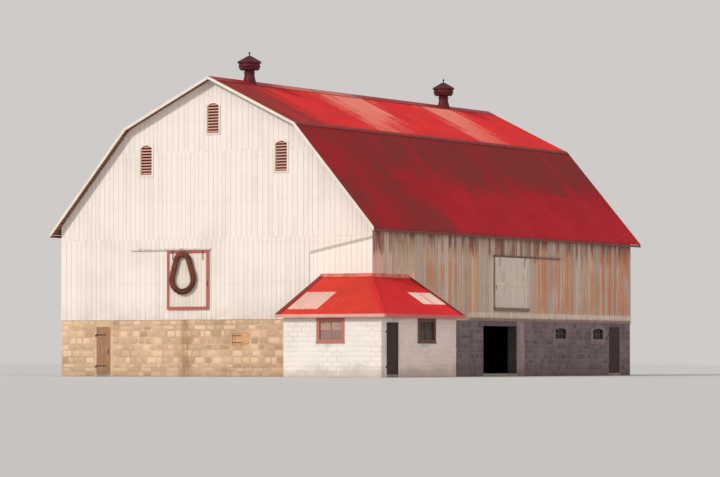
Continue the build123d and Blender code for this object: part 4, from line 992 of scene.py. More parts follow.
def twig_finish(name):
    """Bound twigs and dry leaves: tone by leaf, from near black brown to dull red."""
    f = Finish(name, 0.85)
    tone, fibre = f.lay()[0], f.cloud(120, 3, 0.55)
    colour = f.mix(tone, srgb(96, 50, 40), srgb(176, 100, 78))
    colour = f.mix(f.between((tone * 5.7) % 1, 0.8, 0.9) * 0.6, colour, srgb(84, 72, 44))
    return f.done(f.shade(colour, 0.75 + 0.4 * fibre), fibre, distance=0.001)


# Walls

def vent_holes():
    """Openings in a gable's boards behind the vents' flanges."""
    ease = 0.03
    half = VENT_WIDTH / 2 + ease
    return [Hole(x - half, x + half, z - ease, z + VENT_HEIGHT + ease, VENT_RISE) for x, z in VENT_PLACES]


def door_hole(name, side):
    """Opening behind a sliding leaf, from the deck up to a lap below the leaf's top."""
    lap, (left, right, _, head) = 0.085, extent(name, side)
    return Hole(left + lap, right - lap, DECK_TOP, head - lap)


class BARN_OT_board_walls(bpy.types.Operator):
    """Vertical boards of the two gables and the two long sides"""
    bl_idname = "barn.board_walls"
    bl_label = "Board walls"

    def execute(self, context):
        sizes, colours = context.scene.barn_boards, context.scene.barn_colours
        grey, tan, red = colours.grey_board, colours.tan_board, colours.red_board
        # The dark colour is painted shade: it darkens the tops of the long sides under the eaves and the top
        # of the rear gable under the roof.
        dark, rosy, pale = srgb(152, 94, 80), srgb(250, 196, 178), srgb(204, 190, 150)

        def weathered(name, silvered, bare, patches, marks=None):
            """Bare boards with what is left of an old wash, a share silvered."""
            wash = mixed(grey, (0.62, 0.56, 0.48), silvered)
            return board_finish(name, wash, times(grey, bare), worn=0.75, nails=GIRTS, patches=patches,
                                marks=marks)

        cream = board_finish("cream_boards", colours.cream, times(grey, 0.8), worn=0.12, spread=0.25,
                             nails=GIRTS, marks=gable_marks, grey=0.4, edge=0.3, soil=0.18)
        seen_side = weathered("weathered_boards", 0.35, 1, (
            (-12, -7.4, 2.8, 5.6, rosy, 0.85),
            # Painted shade under the eave.
            (-12, 12, 5.3, 6.5, dark, 1),
            (-9.7, -7.9, 4.6, 5.4, pale, 0.8),
            (-7.9, -3.2, 2.75, 5.2, tan, 0.95),
            (-7.4, -4.2, 3, 4.6, red, 0.6),
            (1.9, 6.1, 2.8, 5.2, tan, 0.9),
            (2.6, 5.6, 3, 4.9, red, 0.75),
            (6.9, 8.9, 2.8, 5.2, tan, 0.9),
            (7.1, 8.6, 3.1, 4.5, red, 0.6),
            (9.5, 11.9, 2.8, 5.4, red, 0.95),
        ), side_marks)
        plain_side = weathered("weathered_boards_plain", 0.25, 0.95, (
            # Painted shade under the eave.
            (-12, 12, 5.4, 6.5, dark, 0.6),
            (-8.5, -3, 2.8, 5, tan, 0.5),
            (1, 6.5, 3, 5.2, tan, 0.55),
            (7.5, 11, 2.8, 4.6, red, 0.5),
        ))
        plain_gable = weathered("weathered_gable_boards", 0.25, 0.92, (
            # The dark patch is painted shade under the roof.
            (11, 13, 2.6, 3.4, tan, 0.5), (11, 13, 9.2, 12, dark, 0.35),
        ))
        spare, tiers = 0.004, (5.72, 9.35)
        eave = roof_underside(HALF_WIDTH) - spare
        corners = (roof_reach(roof_underside(KNEE_X)), roof_reach(tiers[1] + spare))
        bends = (0, *corners, *(-u for u in corners))
        gable = ((-HALF_WIDTH, HALF_WIDTH), lambda u: roof_underside(u) - spare, tiers, bends)
        long_side = ((-STONE_Y + 0.002, STONE_Y - 0.002), lambda u: eave, (), ())
        walls = (
            ("front", "front_gable_wall", gable, [*vent_holes(), door_hole("gable_door", "front")], cream),
            ("rear", "rear_gable_wall", gable, vent_holes(), plain_gable),
            ("left", "left_wall", long_side, [], plain_side),
            ("right", "right_wall", long_side, [door_hole("side_door", "right")], seen_side),
        )
        for seed, (side, node, (span, top, levels, breaks), holes, finish) in enumerate(walls):
            shells, rng = Shells(), np.random.default_rng(40 + seed)
            if side == "front":
                gap, loose, slot = sizes.tight, 0.5, "cream_boards"
            else:
                gap, loose, slot = sizes.gap, 1, "weathered_boards"
            board_wall(shells, WALLS[side], span, top, levels, holes, gap, rng, sizes, breaks, loose)
            shells.piece(f"{side}_boards", finish, slot, stands_for=[node])
        return {"FINISHED"}


class BARN_OT_stonework(bpy.types.Operator):
    """Coursed stones of the foundation, over its mortar"""
    bl_idname = "barn.stonework"
    bl_label = "Stonework"

    def execute(self, context):
        sizes, colours = context.scene.barn_masonry, context.scene.barn_colours
        tan = stone_finish("tan_stone", colours.tan_stone, srgb(226, 196, 160), splash=0.35, darkest=0.76)
        grey = stone_finish("grey_stone", colours.grey_stone, srgb(132, 118, 112))
        jamb, lintel, above = 0.10, 2.17, 3

        def opening(name, side):
            left, right, foot, head = extent(name, side)
            return left - jamb, right + jamb, foot - 0.2, head + jamb

        low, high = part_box("stable_window_frames")
        half = WINDOW_WIDTH / 2 + 0.17
        windows = {
            side: [(y - half, y + half, low.z, high.z) for y in places]
            for side, places in WINDOW_PLACES.items()
        }
        near_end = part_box("right_foundation_near")[1].y
        pier = extent("right_foundation_pier", "right")
        holes = {
            "front": [opening("plank_door", "front"), opening("window_hatch", "front"),
                      (ANNEX_LEFT + 0.15, STONE_X + 1, 0, above)],
            "rear": [],
            "left": windows["left"],
            "right": [*windows["right"], opening("stable_door", "right"), (near_end, pier[0], 0, lintel),
                      (*pier[:2], 0, above), (-STONE_Y - 1, ANNEX_END - 0.15, 0, above)],
        }
        for seed, (side, openings) in enumerate(holes.items()):
            shells, rng = Shells(), np.random.default_rng(60 + seed)
            reach = STONE_X if side in ("front", "rear") else STONE_Y
            stones(shells, FOUNDATION[side], (-reach, reach), BOARD_FOOT - 0.004, openings, sizes, rng)
            finish, slot = (tan, "masonry_front") if side == "front" else (grey, "masonry_side")
            shells.piece(f"{side}_stones", finish, slot)
        return {"FINISHED"}


# Roofs

def plain_tones(places, up, rng):
    """Chalkiness and rust of sheets that differ only a little."""
    return rng.uniform(0.05, 0.4, places.shape), rng.uniform(0, 0.3, places.shape)


def chalky_tones(places, up, rng):
    """As plain ones, with sheets chalked pale in three stretches that lean towards the far end at the
    ridge; the later ones fade towards the knee."""
    tone, brown = plain_tones(places, up, rng)
    rise = up / UPPER_LENGTH
    leant = places - 1.1 * rise
    for start, end, level, foot in ((-4.9, -3.1, 1.05, 0.9), (-2.8, -1.4, 1.2, 0.45), (4.2, 6.4, 1.2, 0.6)):
        beyond = np.maximum(np.maximum(start - leant, leant - end), 0)
        level = level + rng.uniform(-0.12, 0.12, places.shape)
        level = level * (foot + (1 - foot) * np.clip(rise * 1.4, 0, 1))
        fading = 0.8 * level * np.clip(1 - beyond / 2.2, 0, 1)
        tone = np.maximum(tone, np.where(beyond > 0, fading, level))
    return tone, brown + 0.7 * np.clip((-8.2 - places) / 2.2, 0, 1)


def rusty_tones(places, up, rng):
    """A rusty upper half that fades out below the lap, and a duller near end."""
    tone, brown = plain_tones(places, up, rng)
    rise = np.clip((up / LOWER_LENGTH - 0.30) / 0.32, 0, 1)
    near = np.clip((-2.5 - places) / 5, 0, 1) * (0.8 + 0.35 * up / LOWER_LENGTH)
    level = rise * np.clip(0.72 + (places + 9) * 0.03, 0.55, 0.92) * 0.75
    return tone * 0.5, brown * 0.9 + np.maximum(level, 0.6 * near)


# Lay of the folded strips, and the level of the roof boards' tops, just under the sheets
FOLDED, UNDER_SHEETS = (0.3, 0.5, 1, 0.3), -0.0265


class BARN_OT_roofing(bpy.types.Operator):
    """Ribbed sheets on roof boards, knee flashings and eave boards"""
    bl_idname = "barn.roofing"
    bl_label = "Roofing"

    def execute(self, context):
        sizes, colours = context.scene.barn_roofing, context.scene.barn_colours
        faded, brown = colours.faded_roof, colours.brown_roof
        red = roof_finish("roof_red", colours.red_roof, faded, brown)
        # The steep lower slopes take the roof red painted darker as shade.
        deep = roof_finish("roof_deep_red", colours.shaded_deep_red, mixed(colours.shaded_deep_red, faded, 0.45), brown)
        boards = timber_finish("roof_boards", colours.timber, "y")
        looks = {"lower_right": rusty_tones, "upper_right": chalky_tones}
        for seed, (name, face) in enumerate(SLOPES.items()):
            lower = name.startswith("lower")
            foot = -EAVE_OUT / math.cos(LOWER_ANGLE) * 0.98 if lower else -0.02
            middle = face.length * (0.49 if lower else 0.5)
            shells, deck, rng = Shells(), Shells(), np.random.default_rng(80 + seed)
            for start, end, lift in ((foot, middle + sizes.lap, -0.003), (middle, face.length - 0.006, 0)):
                roof_sheets(shells, face.moved(out=lift), (-ROOF_END + 0.004, ROOF_END - 0.004), start, end,
                            sizes, rng, looks.get(name, plain_tones))
            packed = [f"roof_{name}"]
            shells.piece(f"roof_sheets_{name}", deep if lower else red, "roof_metal", stands_for=packed)
            edges = np.arange(0.02, face.length - 0.12, 0.2)
            deck.bars(face, -ROOF_END + 0.003, ROOF_END - 0.003, edges, edges + 0.17, -ROOF_DEPTH,
                      UNDER_SHEETS, rng.random(len(edges)))
            deck.piece(f"roof_deck_{name}", boards, "roof_metal", stands_for=packed)
        self.flashings(colours)
        self.eaves(colours)
        return {"FINISHED"}

    def flashings(self, colours):
        """Bent strips over the knees, and the ridge cap's lapped joints with a row of screws along
        both of its edges."""
        shells, reach = Shells(), 0.13
        y = np.array([[-ROOF_END + 0.003, 0, ROOF_END - 0.003]])
        for side in ("left", "right"):
            lower, upper = SLOPES[f"lower_{side}"], SLOPES[f"upper_{side}"]
            top, under = (
                np.stack([lower.at(y, LOWER_LENGTH - reach, out), lower.at(y, LOWER_LENGTH, out),
                          upper.at(y, reach, out)], 1)
                for out in (0.0016, -0.001)
            )
            shells.slabs(top, under, FOLDED)
        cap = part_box("ridge_cap")[1]
        thick = (cap.z - PEAK_Z) * math.cos(UPPER_ANGLE)
        edge = UPPER_LENGTH - cap.x / math.cos(UPPER_ANGLE)
        joints = np.linspace(-ROOF_END, ROOF_END, 10)[1:-1]
        screws = np.arange(-ROOF_END + 0.15, ROOF_END, 0.3)
        for side in ("left", "right"):
            face = SLOPES[f"upper_{side}"]
            shells.bars(face, joints - 0.03, joints + 0.03, edge + 0.004,
                        UPPER_LENGTH + thick * math.tan(UPPER_ANGLE), 0, thick + 0.003, 0.3)
            domes(shells, face, screws, edge + 0.035, thick, 0.011, sides=6)
        # The knee strips are painted darker than the steep slopes' red: painted shade under the upper slopes'
        # edges. The ridge cap's joint strips share this finish.
        finish = sheet_metal_finish("flashing_red", times(colours.shaded_deep_red, 0.6), 0.35)
        shells.piece("knee_flashings", finish, "ridge_metal")

    def eaves(self, colours):
        """Painted boards along the eaves under the sheets."""
        shells, edges = Shells(), np.linspace(-ROOF_END, ROOF_END, 7)
        foot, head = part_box("eave_boards")[0].z, EAVE_Z - EAVE_OUT * math.tan(LOWER_ANGLE) - 0.034
        for side in (-1, 1):
            face = Face((side * EAVE_X, 0, 0), (0, side, 0))
            shells.bars(face, *sides_of(edges, 0.0015), foot, head, 0, EAVE_OUT - 0.004,
                        np.linspace(0.2, 0.8, 6), bevel=0.003)
        trim = board_finish("eave_paint", times(colours.brown_paint, 0.85), times(colours.timber, 0.8))
        shells.piece("eave_trim", trim, "brown_trim", stands_for=["eave_boards"])


class BARN_OT_annex(bpy.types.Operator):
    """Blocks, roof sheets and boards, hip cap, flashing and rake boards of the annex"""
    bl_idname = "barn.annex"
    bl_label = "Annex"

    def execute(self, context):
        scene = context.scene
        jamb, under_roof = 0.09, 0.085
        holes = {
            side: [(middle - width / 2 - jamb, middle + width / 2 + jamb, ANNEX_SILL, ANNEX_LINTEL)]
            for side, (middle, width) in ANNEX_WINDOWS.items()
        }
        left, right, _, door_head = extent("annex_door", "right")
        holes["right"].append((left - 0.02 - jamb, right + jamb, 0, door_head + jamb))
        head = ANNEX_EAVE + ANNEX_RISE / FRONT_RUN * (ANNEX_Y - ANNEX_EAVE_Y) - under_roof
        shells, rng = Shells(), np.random.default_rng(120)
        for side, span in (
            ("front", (ANNEX_LEFT, ANNEX_X)), ("right", (ANNEX_Y, ANNEX_END)),
            ("left", (HALF_LENGTH + 0.03, -ANNEX_Y)), ("rear", (-ANNEX_X, -HALF_WIDTH - 0.03)),
        ):
            face, openings = ANNEX_WALLS[side], holes.get(side, [])
            stones(shells, face, span, head, openings, scene.barn_masonry, rng, flat=True)
        blocks = block_finish("limewash_blocks", scene.barn_colours.white_wash)
        shells.piece("annex_blocks", blocks, "masonry_white")
        red = self.sheets(scene.barn_roofing, scene.barn_colours)
        self.patches(scene.barn_roofing)
        self.rakes(scene.barn_colours)
        self.deck(scene.barn_colours)
        self.hip_cap(red)
        self.apron()
        return {"FINISHED"}

    def sheets(self, sizes, colours):
        """Ribbed sheets on both slopes, cut along the hip. Returns the side slope's finish."""
        faded, brown = colours.faded_roof, colours.brown_roof
        # The front slope takes the roof red painted warmer and lighter as sunlight; the side slope keeps the
        # plain red.
        lit = roof_finish("annex_front_red", colours.sunlit_orange_red, faded, brown, foot_rust=0.3)
        red = roof_finish("annex_side_red", colours.red_roof, faded, brown, foot_rust=0.3)
        least = 0.012

        def front_top(x):
            return FRONT_SLOPE.length * np.clip((ANNEX_EAVE_X - x) / SIDE_RUN, least, 1)

        def side_top(y):
            return SIDE_SLOPE.length * np.clip((y - ANNEX_EAVE_Y) / FRONT_RUN, least, 1)

        rng = np.random.default_rng(140)
        for name, face, span, top, finish in (
            ("front", FRONT_SLOPE, FRONT_SPAN, front_top, lit),
            ("side", SIDE_SLOPE, SIDE_SPAN, side_top, red),
        ):
            shells = Shells()
            roof_sheets(shells, face, span, -0.02, top, sizes, rng, plain_tones, rows=6)
            shells.piece(f"annex_sheets_{name}", finish, "roof_metal", stands_for=[f"annex_roof_{name}"])
        return red

    def deck(self, colours):
        """Roof boards under the sheets, each cut short of the hip."""
        shells = Shells()
        for face in (FRONT_SLOPE, SIDE_SLOPE):
            edges = np.arange(0.01, face.length - 0.1, 0.16)
            share = (edges + 0.15) / face.length
            if face is FRONT_SLOPE:
                ends = (ANNEX_RAKE_X, ANNEX_EAVE_X - SIDE_RUN * share)
            else:
                ends = (ANNEX_EAVE_Y + FRONT_RUN * share, ANNEX_RAKE_Y)
            shells.bars(face, *ends, edges, edges + 0.15, -0.062, UNDER_SHEETS)
        boards = timber_finish("annex_roof_boards", colours.timber, "x")
        packed = ["annex_roof_front", "annex_roof_side"]
        shells.piece("annex_roof_deck", boards, "roof_metal", stands_for=packed)

    def hip_cap(self, finish):
        """A folded strip over the hip."""
        crown = np.array([HALF_WIDTH, -HALF_LENGTH, ANNEX_TOP])
        along = np.array([ANNEX_EAVE_X, ANNEX_EAVE_Y, ANNEX_EAVE]) - crown
        length, reach = np.linalg.norm(along), 0.13
        along /= length

        def line(end, away=0):
            return crown + np.linspace(0, end, 4)[:, None] * along + reach * away

        def wing(face, sign):
            """Edge of the cap on a slope: square to the hip, cut level with the eave."""
            away = np.cross(face.out, along)
            away *= sign * np.sign(away @ face.across)
            return line(length - reach * abs((away @ face.up) / (along @ face.up)), away)

        out = 0.5 * (FRONT_SLOPE.out + SIDE_SLOPE.out)
        top = np.stack([wing(FRONT_SLOPE, -1), line(length), wing(SIDE_SLOPE, 1)], 1)[None] + 0.003 * out
        shells = Shells()
        shells.slabs(top, top - 0.004 * out, (0.2, 0.5, 1, 0.1))
        shells.piece("annex_hip_cap", finish, "roof_metal")

    def apron(self):
        """Folded flashing where the slopes meet the walls: a leg down the ribs and a leg up the boards."""
        shells, reach, upstand = Shells(), 0.14, ANNEX_TOP + 0.09
        for face, wall, start, end in (
            (FRONT_SLOPE, WALLS["front"], ANNEX_RAKE_X, HALF_WIDTH + 0.01),
            (SIDE_SLOPE, WALLS["right"], -HALF_LENGTH - 0.01, ANNEX_RAKE_Y),
        ):
            u = np.linspace(start, end, 5)[None, None, :]
            over = [face.at(u, face.length - reach, 0.002), face.at(u, face.length - 0.012, 0.004),
                    wall.at(u, ANNEX_TOP + 0.008, 0.006), wall.at(u, upstand, 0.004)]
            under = [face.at(u, face.length - reach, 0), face.at(u, face.length - 0.006, 0),
                     wall.at(u, ANNEX_TOP + 0.004, 0.002), wall.at(u, upstand, 0.001)]
            shells.slabs(np.concatenate(over, 1), np.concatenate(under, 1), (0.3, 0.5, 1, 0.2))
        faded = sheet_metal_finish("flashing_faded", srgb(226, 118, 100), 0.25)
        shells.piece("annex_flashing", faded, "roof_metal")

    def patches(self, sizes):
        """Short pale sheets lapped over the others near both rakes, on the same rib pitch: one of five
        ribs in front, and two of three ribs at the side, the second over the first."""
        shells, rng, spare, lap = Shells(), np.random.default_rng(150), 0.004, 0.01
        for face, span, count, ribs, foot in (
            (FRONT_SLOPE, FRONT_SPAN, 1, 5, 0.14), (SIDE_SLOPE, SIDE_SPAN, 2, 3, 0.28),
        ):
            width = span[1] - span[0]
            pitch = width / round(width / sizes.sheet_width) / sizes.ribs
            reach = count * ribs * pitch
            start = span[0] + pitch if face is FRONT_SLOPE else span[1] - pitch - reach
            edges = np.linspace(start - spare, start + reach + spare, count + 1)
            v = face.length * np.linspace(foot, 0.58, 4)[None, :, None]
            for i in range(count):
                left, right = edges[i] - lap * (i > 0), edges[i + 1] + lap * (i + 1 < count)
                ribbed(shells, face.moved(out=0.0075 + 0.0015 * i), left, right, v, ribs, sizes.rib_height,
                       rng.uniform(0.4, 0.9), 0.05)
        pale = roof_finish("pale_patch_sheets", srgb(246, 196, 180), srgb(255, 226, 212), srgb(206, 132, 116),
                           foot_rust=0.2)
        shells.piece("annex_patch_sheets", pale, "roof_metal")

    def rakes(self, colours):
        """Dark boards along the two rakes with a folded strip over their top edge."""
        shells = Shells()
        front, side = FRONT_SLOPE, SIDE_SLOPE
        left = Face((ANNEX_RAKE_X, -HALF_LENGTH, ANNEX_TOP), -front.up, front.out)
        far = Face((ANNEX_EAVE_X, ANNEX_RAKE_Y, ANNEX_EAVE), side.up, side.out)
        for face, start, end in (
            (left, (STONE_Y - HALF_LENGTH) / front.up[1], front.length),
            (far, 0, side.length + (STONE_X - HALF_WIDTH) / side.up[0]),
        ):
            shells.bars(face, start + 0.002, end - 0.002, -0.15, 0.004, -0.001, 0.024, bevel=0.004)
            shells.bars(face, start + 0.002, end - 0.002, 0.0045, 0.0065, -0.16, 0.027)
        trim = paint_finish("rake_paint", times(colours.shaded_deep_red, 0.5), times(colours.timber, 0.6), axis="x")
        shells.piece("annex_rake_boards", trim, "brown_trim")


# Vents and windows

def arch_path(grow):
    """Places across and up round a vent's outline from its left foot over the crown to its right foot:
    two uprights and a circle through the springings and the crown, grown outward by grow."""
    half, radius = VENT_WIDTH / 2, arch_radius(VENT_WIDTH / 2, VENT_RISE)
    sweep = math.asin(half / radius)
    angle = np.linspace(-sweep, sweep, 9)
    u = (half + grow) * np.concatenate([[-1], np.sin(angle) / math.sin(sweep), [1]])
    arc = VENT_HEIGHT - radius + (radius + grow) * np.cos(angle)
    return u, np.concatenate([[-grow], arc, [-grow]])


class BARN_OT_vents(bpy.types.Operator):
    """Arched gable vents: white frames and brown sloping slats"""
    bl_idname = "barn.vents"
    bl_label = "Vents"
    slats = 10

    def execute(self, context):
        colours = context.scene.barn_colours
        white = paint_finish("vent_white", colours.white_paint, times(colours.grey_board, 0.7), 0.2)
        brown = paint_finish("vent_brown", srgb(232, 172, 156), times(colours.timber, 1.1), 0.3, axis="x")
        frames, slats = Shells(), Shells()
        section = ((0, -0.1), (0, 0.022), (0.075, 0.025), (0.08, 0.022), (0.08, 0), (0.03, 0), (0.03, -0.1))
        half, radius = VENT_WIDTH / 2, arch_radius(VENT_WIDTH / 2, VENT_RISE)
        level = VENT_HEIGHT / self.slats * (np.arange(self.slats) + 0.5)
        edge = level + 0.03
        across = np.sqrt(radius**2 - np.clip(edge - VENT_HEIGHT + radius, 0, radius) ** 2)
        reach = np.minimum(np.where(edge > VENT_HEIGHT - VENT_RISE, across, half), half) + 0.004
        paths = [(*arch_path(grow), out) for grow, out in section]
        for face in (WALLS["front"], WALLS["rear"]):
            for x, z in VENT_PLACES:
                rings = np.stack([face.at(x + u, z + v, out) for u, v, out in paths], 1)
                frames.tubes(rings[None], (0.5, 0.5, 0.5, 0.2), loop=True)
                self.add_slats(slats, face, x, z + level, reach)
        frames.piece("vent_frames", white, "white_planks", stands_for=["gable_vents"])
        slats.piece("vent_slats", brown, "brown_trim", stands_for=["gable_vents"])
        return {"FINISHED"}

    def add_slats(self, shells, face, x, level, reach):
        """Thin boards that slope down and out at 40 degrees."""
        angle, depth, thick = math.radians(40), 0.095, 0.012
        s = np.array([-depth / 2, depth / 2])[None, :, None]
        u = np.stack([x - reach, x + reach], -1)[:, None, :]
        v, out = level[:, None, None] - s * math.sin(angle), s * math.cos(angle) - 0.052
        up, ahead = thick / 2 * math.cos(angle), thick / 2 * math.sin(angle)
        lay = lay_of(np.linspace(0.2, 0.8, len(level))[:, None, None], 0.5, 0.5, 0.1)
        shells.slabs(face.at(u, v + up, out + ahead), face.at(u, v - up, out - ahead), lay)


class BARN_OT_windows(bpy.types.Operator):
    """Glazing bars of the stable and annex windows, and the hatch's boards and iron"""
    bl_idname = "barn.windows"
    bl_label = "Windows"

    def execute(self, context):
        bars, half = Shells(), WINDOW_WIDTH / 2 - 0.045
        foot, head = WINDOW_SILL + 0.045, WINDOW_SILL + WINDOW_HEIGHT - 0.052
        rail = WINDOW_SILL + 0.25
        for side, places in WINDOW_PLACES.items():
            face = FOUNDATION[side]
            for middle in places:
                uprights = middle + np.array([-half / 3, half / 3])
                bars.bars(face, uprights - 0.011, uprights + 0.011, foot, head, -0.078, -0.036)
                bars.bars(face, middle - half, middle + half, rail, rail + 0.022, -0.076, -0.038)
        grey = paint_finish("sash_grey", srgb(88, 66, 64), context.scene.barn_colours.timber, 0.4, "x")
        bars.piece("stable_window_bars", grey, "white_planks")
        annex, low = Shells(), ANNEX_SILL + 0.09
        foot, head = low + 0.045, low + 0.755
        for side, (middle, width) in ANNEX_WINDOWS.items():
            face, reach, rail = ANNEX_WALLS[side], width / 2 - 0.045, (foot + head) / 2
            sill = reach + 0.155
            annex.bars(face, middle - 0.025, middle + 0.025, foot, head, -0.085, -0.03, bevel=0.004)
            annex.bars(face, middle - reach, middle + reach, rail - 0.016, rail + 0.016, -0.083, -0.034)
            annex.bars(face, middle - sill, middle + sill, low - 0.10, low - 0.062, -0.01, 0.05, bevel=0.005)
        annex.piece("annex_window_bars", window_finish("sash_brown"), "brown_trim")
        self.hatch()
        return {"FINISHED"}

    def hatch(self):
        """Boards and two ledges, with a strap and three bolts on each."""
        boards, iron = Shells(), Shells()
        left, right, foot, head = extent("window_hatch", "front")
        face = Face((0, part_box("window_hatch")[0].y, 0), (1, 0, 0))
        edges, ledges = np.linspace(left, right, 6), np.array([foot + 0.07, head - 0.15])
        tones = np.array([0.2, 0.7, 0.4, 0.9, 0.3])
        boards.bars(face, *sides_of(edges, 0.003), foot + 0.004, head - 0.004, -0.018, -0.001, tones,
                    bevel=0.003)
        boards.bars(face, left + 0.02, right - 0.02, ledges, ledges + 0.08, -0.001, 0.018, bevel=0.004)
        for level in ledges + 0.04:
            iron.bars(face, left - 0.03, left + 0.46, level - 0.016, level + 0.016, 0.017, 0.0225,
                      bevel=0.002)
            domes(iron, face, left + np.array([0.06, 0.22, 0.40]), level, 0.0225, 0.008)
        iron.piece("hatch_iron", forged_iron(), "ironwork")
        brown = board_finish("hatch_boards", srgb(240, 182, 128), srgb(222, 168, 122), worn=0.4)
        boards.piece("hatch_boards", brown, "brown_planks", stands_for=["window_hatch"])


# Doors

def hinge_leaf(shells, iron, face, width, foot, head, planks, rng):
    """A ledged plank leaf with strap hinges on a face whose origin is the hinge jamb at the ground."""
    gap, thick = 0.006, 0.04
    edges, tones = np.linspace(gap, width - gap, planks + 1), rng.random(planks)
    front = -0.0005 - 0.002 * tones
    shells.bars(face, *sides_of(edges, 0.0015), foot, head, -thick, front, tones, bevel=0.004)
    low, middle, high = foot + 0.33 - gap, (foot + head) / 2, head - 0.33 + gap
    for level in (low, middle, high):
        shells.bars(face, 0.045, width - 0.045, level - 0.07, level + 0.07, -thick, -thick - 0.024, 0.4)
    for level in (low, high):
        strap(iron, face, 0.7 * width, level)
    handle(iron, face, width - 0.10, middle - 0.05)


def strap(shells, face, reach, level):
    """A strap that tapers to a spade end, its eye round the pin, and four domed bolts."""
    t = np.array([0, 0.25, 0.55, 0.84, 0.90, 0.95, 1])
    half = np.array([0.025, 0.0235, 0.020, 0.017, 0.026, 0.022, 0.003])
    u, v = (t * reach)[None, :, None], level + np.stack([-half, half], -1)[None]
    shells.slabs(face.at(u, v, 0.008), face.at(u, v, -0.0004))
    angle = turn(16)
    section = ((0.0085, -0.025), (0.014, -0.025), (0.014, 0.025), (0.0085, 0.025))
    eye = [face.at(r * np.cos(angle), level + h, 0.02 + r * np.sin(angle)) for r, h in section]
    shells.tubes(np.stack(eye, 1)[None], loop=True)
    domes(shells, face, np.array([0.16, 0.38, 0.62, 0.80]) * reach, level, 0.008, 0.010)


class BARN_OT_hinged_doors(bpy.types.Operator):
    """Plank leaves of the three hinged doors, with their straps"""
    bl_idname = "barn.hinged_doors"
    bl_label = "Hinged doors"

    def execute(self, context):
        plank, iron = context.scene.barn_colours.dark_plank, forged_iron()
        brown = board_finish("brown_planks", srgb(180, 134, 98), srgb(156, 114, 84), worn=0.4)
        dark = board_finish("dark_planks", plank, times(plank, 1.4), worn=0.35)
        doors = (
            ("plank_door", "front", FOUNDATION, brown, "brown_planks", 4),
            ("stable_door", "right", FOUNDATION, dark, "dark_planks", 6),
            ("annex_door", "right", ANNEX_WALLS, dark, "dark_planks", 5),
        )
        joints = {joint["child"]: joint["pos_m"] for joint in frame["joints"]}
        for seed, (name, side, faces, finish, slot, planks) in enumerate(doors):
            leaf, metal, rng = Shells(), Shells(), np.random.default_rng(160 + seed)
            _, edge, foot, head = extent(name, side)
            hinge = joints[name][0 if side == "front" else 1]
            wall, width = faces[side].moved(across=hinge), edge + 0.006 - hinge
            hinge_leaf(leaf, metal, wall, width, foot, head, planks, rng)
            leaf.piece(f"{name}_planks", finish, slot, body=name, stands_for=[name])
            metal.piece(f"{name}_iron", iron, "ironwork", body=name, stands_for=[name])
        dress("door_pintles", iron)
        return {"FINISHED"}


class BARN_OT_sliding_doors(bpy.types.Operator):
    """Boards, hangers and pulls of the two sliding leaves, and the bolts of their tracks"""
    bl_idname = "barn.sliding_doors"
    bl_label = "Sliding doors"

    def execute(self, context):
        colours = context.scene.barn_colours
        grey = colours.grey_board
        white = board_finish("door_white", colours.white_paint, times(grey, 0.75), worn=0.14, spread=0.2)
        pale = board_finish("door_pale", srgb(226, 212, 196), times(grey, 0.95), worn=0.35, marks=rail_marks)
        iron, bolts = Shells(), Shells()
        for seed, (name, side, finish, thick, proud) in enumerate((
            ("gable_door", "front", white, 0.040, 0.0855), ("side_door", "right", pale, 0.026, 0.0699),
        )):
            wall, shells, rng = WALLS[side], Shells(), np.random.default_rng(180 + seed)
            left, right, foot, head = extent(name, side)
            edges = steps(left, right, 0.19, 0.06, rng)
            tones, leaf = rng.random(len(edges) - 1), wall.moved(out=0.03)
            shells.bars(leaf, *sides_of(edges, 0.0015), foot, head, 0, thick - 0.0015 * tones, tones,
                        bevel=0.004)
            if side == "front":
                pull, track = right - 0.06, (-4, right + 0.05)
            else:
                self.frame_boards(shells, leaf, left, right, foot, head, thick)
                pull, track = left + 0.07, (left - 0.05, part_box("door_tracks")[1].y - 0.02)
            shells.piece(f"{name}_boards", finish, "white_planks", stands_for=[name])
            domes(bolts, wall, np.linspace(*track, 9), head + 0.055, 0.0795, 0.011)
            self.hangers(iron, wall, left + (right - left) * np.array([0.14, 0.86]), head, proud)
            handle(iron, wall.moved(out=proud), pull, (foot + head) / 2 - 0.15)
        dress("gable_door_trim", paint_finish("trim_red", srgb(178, 88, 76), times(colours.timber, 0.8)))
        dress("door_tracks", track_finish("track_paint", colours.cream))
        bolts.piece("track_bolts", forged_iron(), "ironwork")
        iron.piece("sliding_door_iron", forged_iron(), "ironwork")
        return {"FINISHED"}

    def hangers(self, shells, wall, us, head, proud):
        """Straps that hang a leaf from its track, stepped over the leaf's top, with three bolts each."""
        lower = proud - 0.0075
        shells.bars(wall, us - 0.025, us + 0.025, head - 0.11, head - 0.004, proud - 0.002, proud + 0.006,
                    bevel=0.002)
        shells.bars(wall, us - 0.022, us + 0.022, head - 0.40, head - 0.112, 0.056, lower, bevel=0.002)
        for drop, out in ((0.045, proud + 0.006), (0.17, lower), (0.35, lower)):
            domes(shells, wall, us, head - drop, out, 0.010)

    def frame_boards(self, shells, face, left, right, foot, head, back):
        """A frame of flat boards on the leaf: stiles, rails and a middle rail."""
        wide, low, high = 0.14, back - 0.003, back + 0.0138
        stiles = np.array([left, right - wide])
        rails = np.array([foot, (foot + head - wide) / 2, head - wide])
        shells.bars(face, stiles, stiles + wide, foot, head, low, high, [0.3, 0.6], bevel=0.004)
        shells.bars(face, left + wide + 0.002, right - wide - 0.002, rails, rails + wide, low, high,
                    [0.4, 0.7, 0.2], bevel=0.004)


